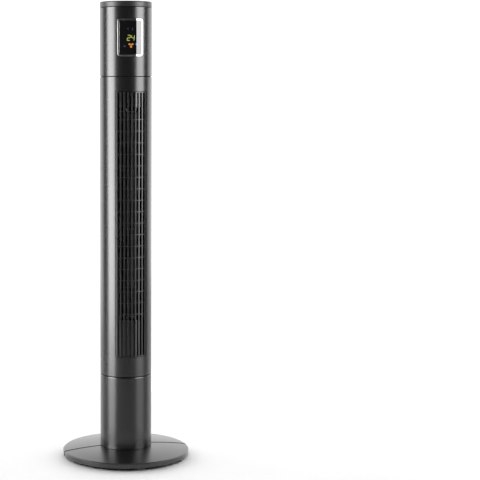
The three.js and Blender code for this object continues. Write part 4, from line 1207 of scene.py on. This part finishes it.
def soft_wall(name, first, last, low, high, distance, strength, top_share=1.0, lean=(0, 0)):
    """A tall soft light bent round the fan, between two angles from the camera's side of it.
    lean turns the lower ends of its two edges by so many degrees."""
    mesh = bmesh.new()
    rows = []
    for t in (i / 12 for i in range(13)):
        angle = camera_turn + first + (last - first) * t
        turn = lean[0] + (lean[1] - lean[0]) * t
        places = ((angle + turn, low), (angle, high))
        rows.append([mesh.verts.new(polar(distance, *place)) for place in places])
    skin(mesh, rows, closed=False, around=False)
    thing = stage_piece(name, mesh, glowing(name, strength, top_share, low, high))
    thing.visible_camera = thing.visible_shadow = False
    return thing


def shadow_casters():
    """The pieces whose shadow the floor shows."""
    group = bpy.data.collections.new("shadow_casters")
    for name in ["base_front", "base_rear", *(f"rubber_foot_{number}" for number in range(1, 7))]:
        group.objects.link(bpy.data.objects[name])


shadow_casters()


def aim_at_floor(light, alone=False):
    """Keeps a light to the floor alone, with the base's shadow, or keeps it off the floor."""
    group = bpy.data.collections.new(f"{light.name}_reach")
    group.objects.link(bpy.data.objects["floor"])
    if not alone:
        group.collection_objects[0].light_linking.link_state = "EXCLUDE"
    light.light_linking.receiver_collection = group
    if alone:
        light.light_linking.blocker_collection = bpy.data.collections["shadow_casters"]


aim_at_floor(soft_wall("soft_left", -90.3, -53.5, 0.0, 1.8, 2.0, 16.6, 0.93, (9, 6)))
aim_at_floor(soft_wall("soft_right", 47.2, 83, 0.0, 1.7, 2.0, 10.0, 1.7))
aim_at_floor(soft_wall("back_right", 112, 150, 0.0, 5.0, 3.4, 2.5))
aim_at_floor(soft_wall("back_middle", 150, 210, 0.0, 5.0, 3.4, 1.6, 0.8))
aim_at_floor(soft_wall("back_left", 210, 245, 0.0, 3.3, 2.2, 2.5))
aim_at_floor(soft_wall("low_light", 105, 255, 0.0, 4.25, 8.0, 5.0), alone=True)
aim_at_floor(soft_wall("high_light", 105, 255, 0.0, 16.0, 8.0, 2.3), alone=True)


def overhead():
    light = bpy.data.lights.new("overhead", "AREA")
    light.shape = "DISK"
    light.size = 2.6
    light.energy = 12
    place_object("overhead", light).location = polar(0.5, camera_turn + 180, 3.4)


overhead()


def world():
    """A white surround for the camera and a dim one for everything else."""
    surround = bpy.data.worlds.new("studio")
    bpy.context.scene.world = surround
    surround.use_nodes = True
    tree = surround.node_tree
    kinds = ("LightPath", "Background", "Background", "MixShader", "OutputWorld")
    path, bright, dim, mixer, output = fresh_nodes(tree, *kinds)
    for background, strength in ((bright, 1.2), (dim, 0.05)):
        fill(background, Color=(1, 1, 1, 1), Strength=strength)
    link = tree.links.new
    link(path.outputs["Is Camera Ray"], mixer.inputs["Fac"])
    link(dim.outputs["Background"], mixer.inputs[1])
    link(bright.outputs["Background"], mixer.inputs[2])
    link(mixer.outputs["Shader"], output.inputs["Surface"])


world()


def camera():
    data = bpy.data.cameras.new("camera")
    data.lens = 104.655
    data.sensor_width = 36
    data.shift_x = 0.2378
    data.shift_y = -0.0048
    data.clip_end = 100
    thing = place_object("camera", data)
    thing.location = polar(camera_distance, camera_turn, camera_height)
    aim = -polar(1, camera_turn)
    aim.z = -math.tan(math.radians(camera_pitch))
    thing.rotation_mode = "QUATERNION"
    thing.rotation_quaternion = aim.normalized().to_track_quat("-Z", "Y")
    bpy.context.scene.camera = thing


camera()

scene = bpy.context.scene
scene.view_settings.view_transform = "Standard"
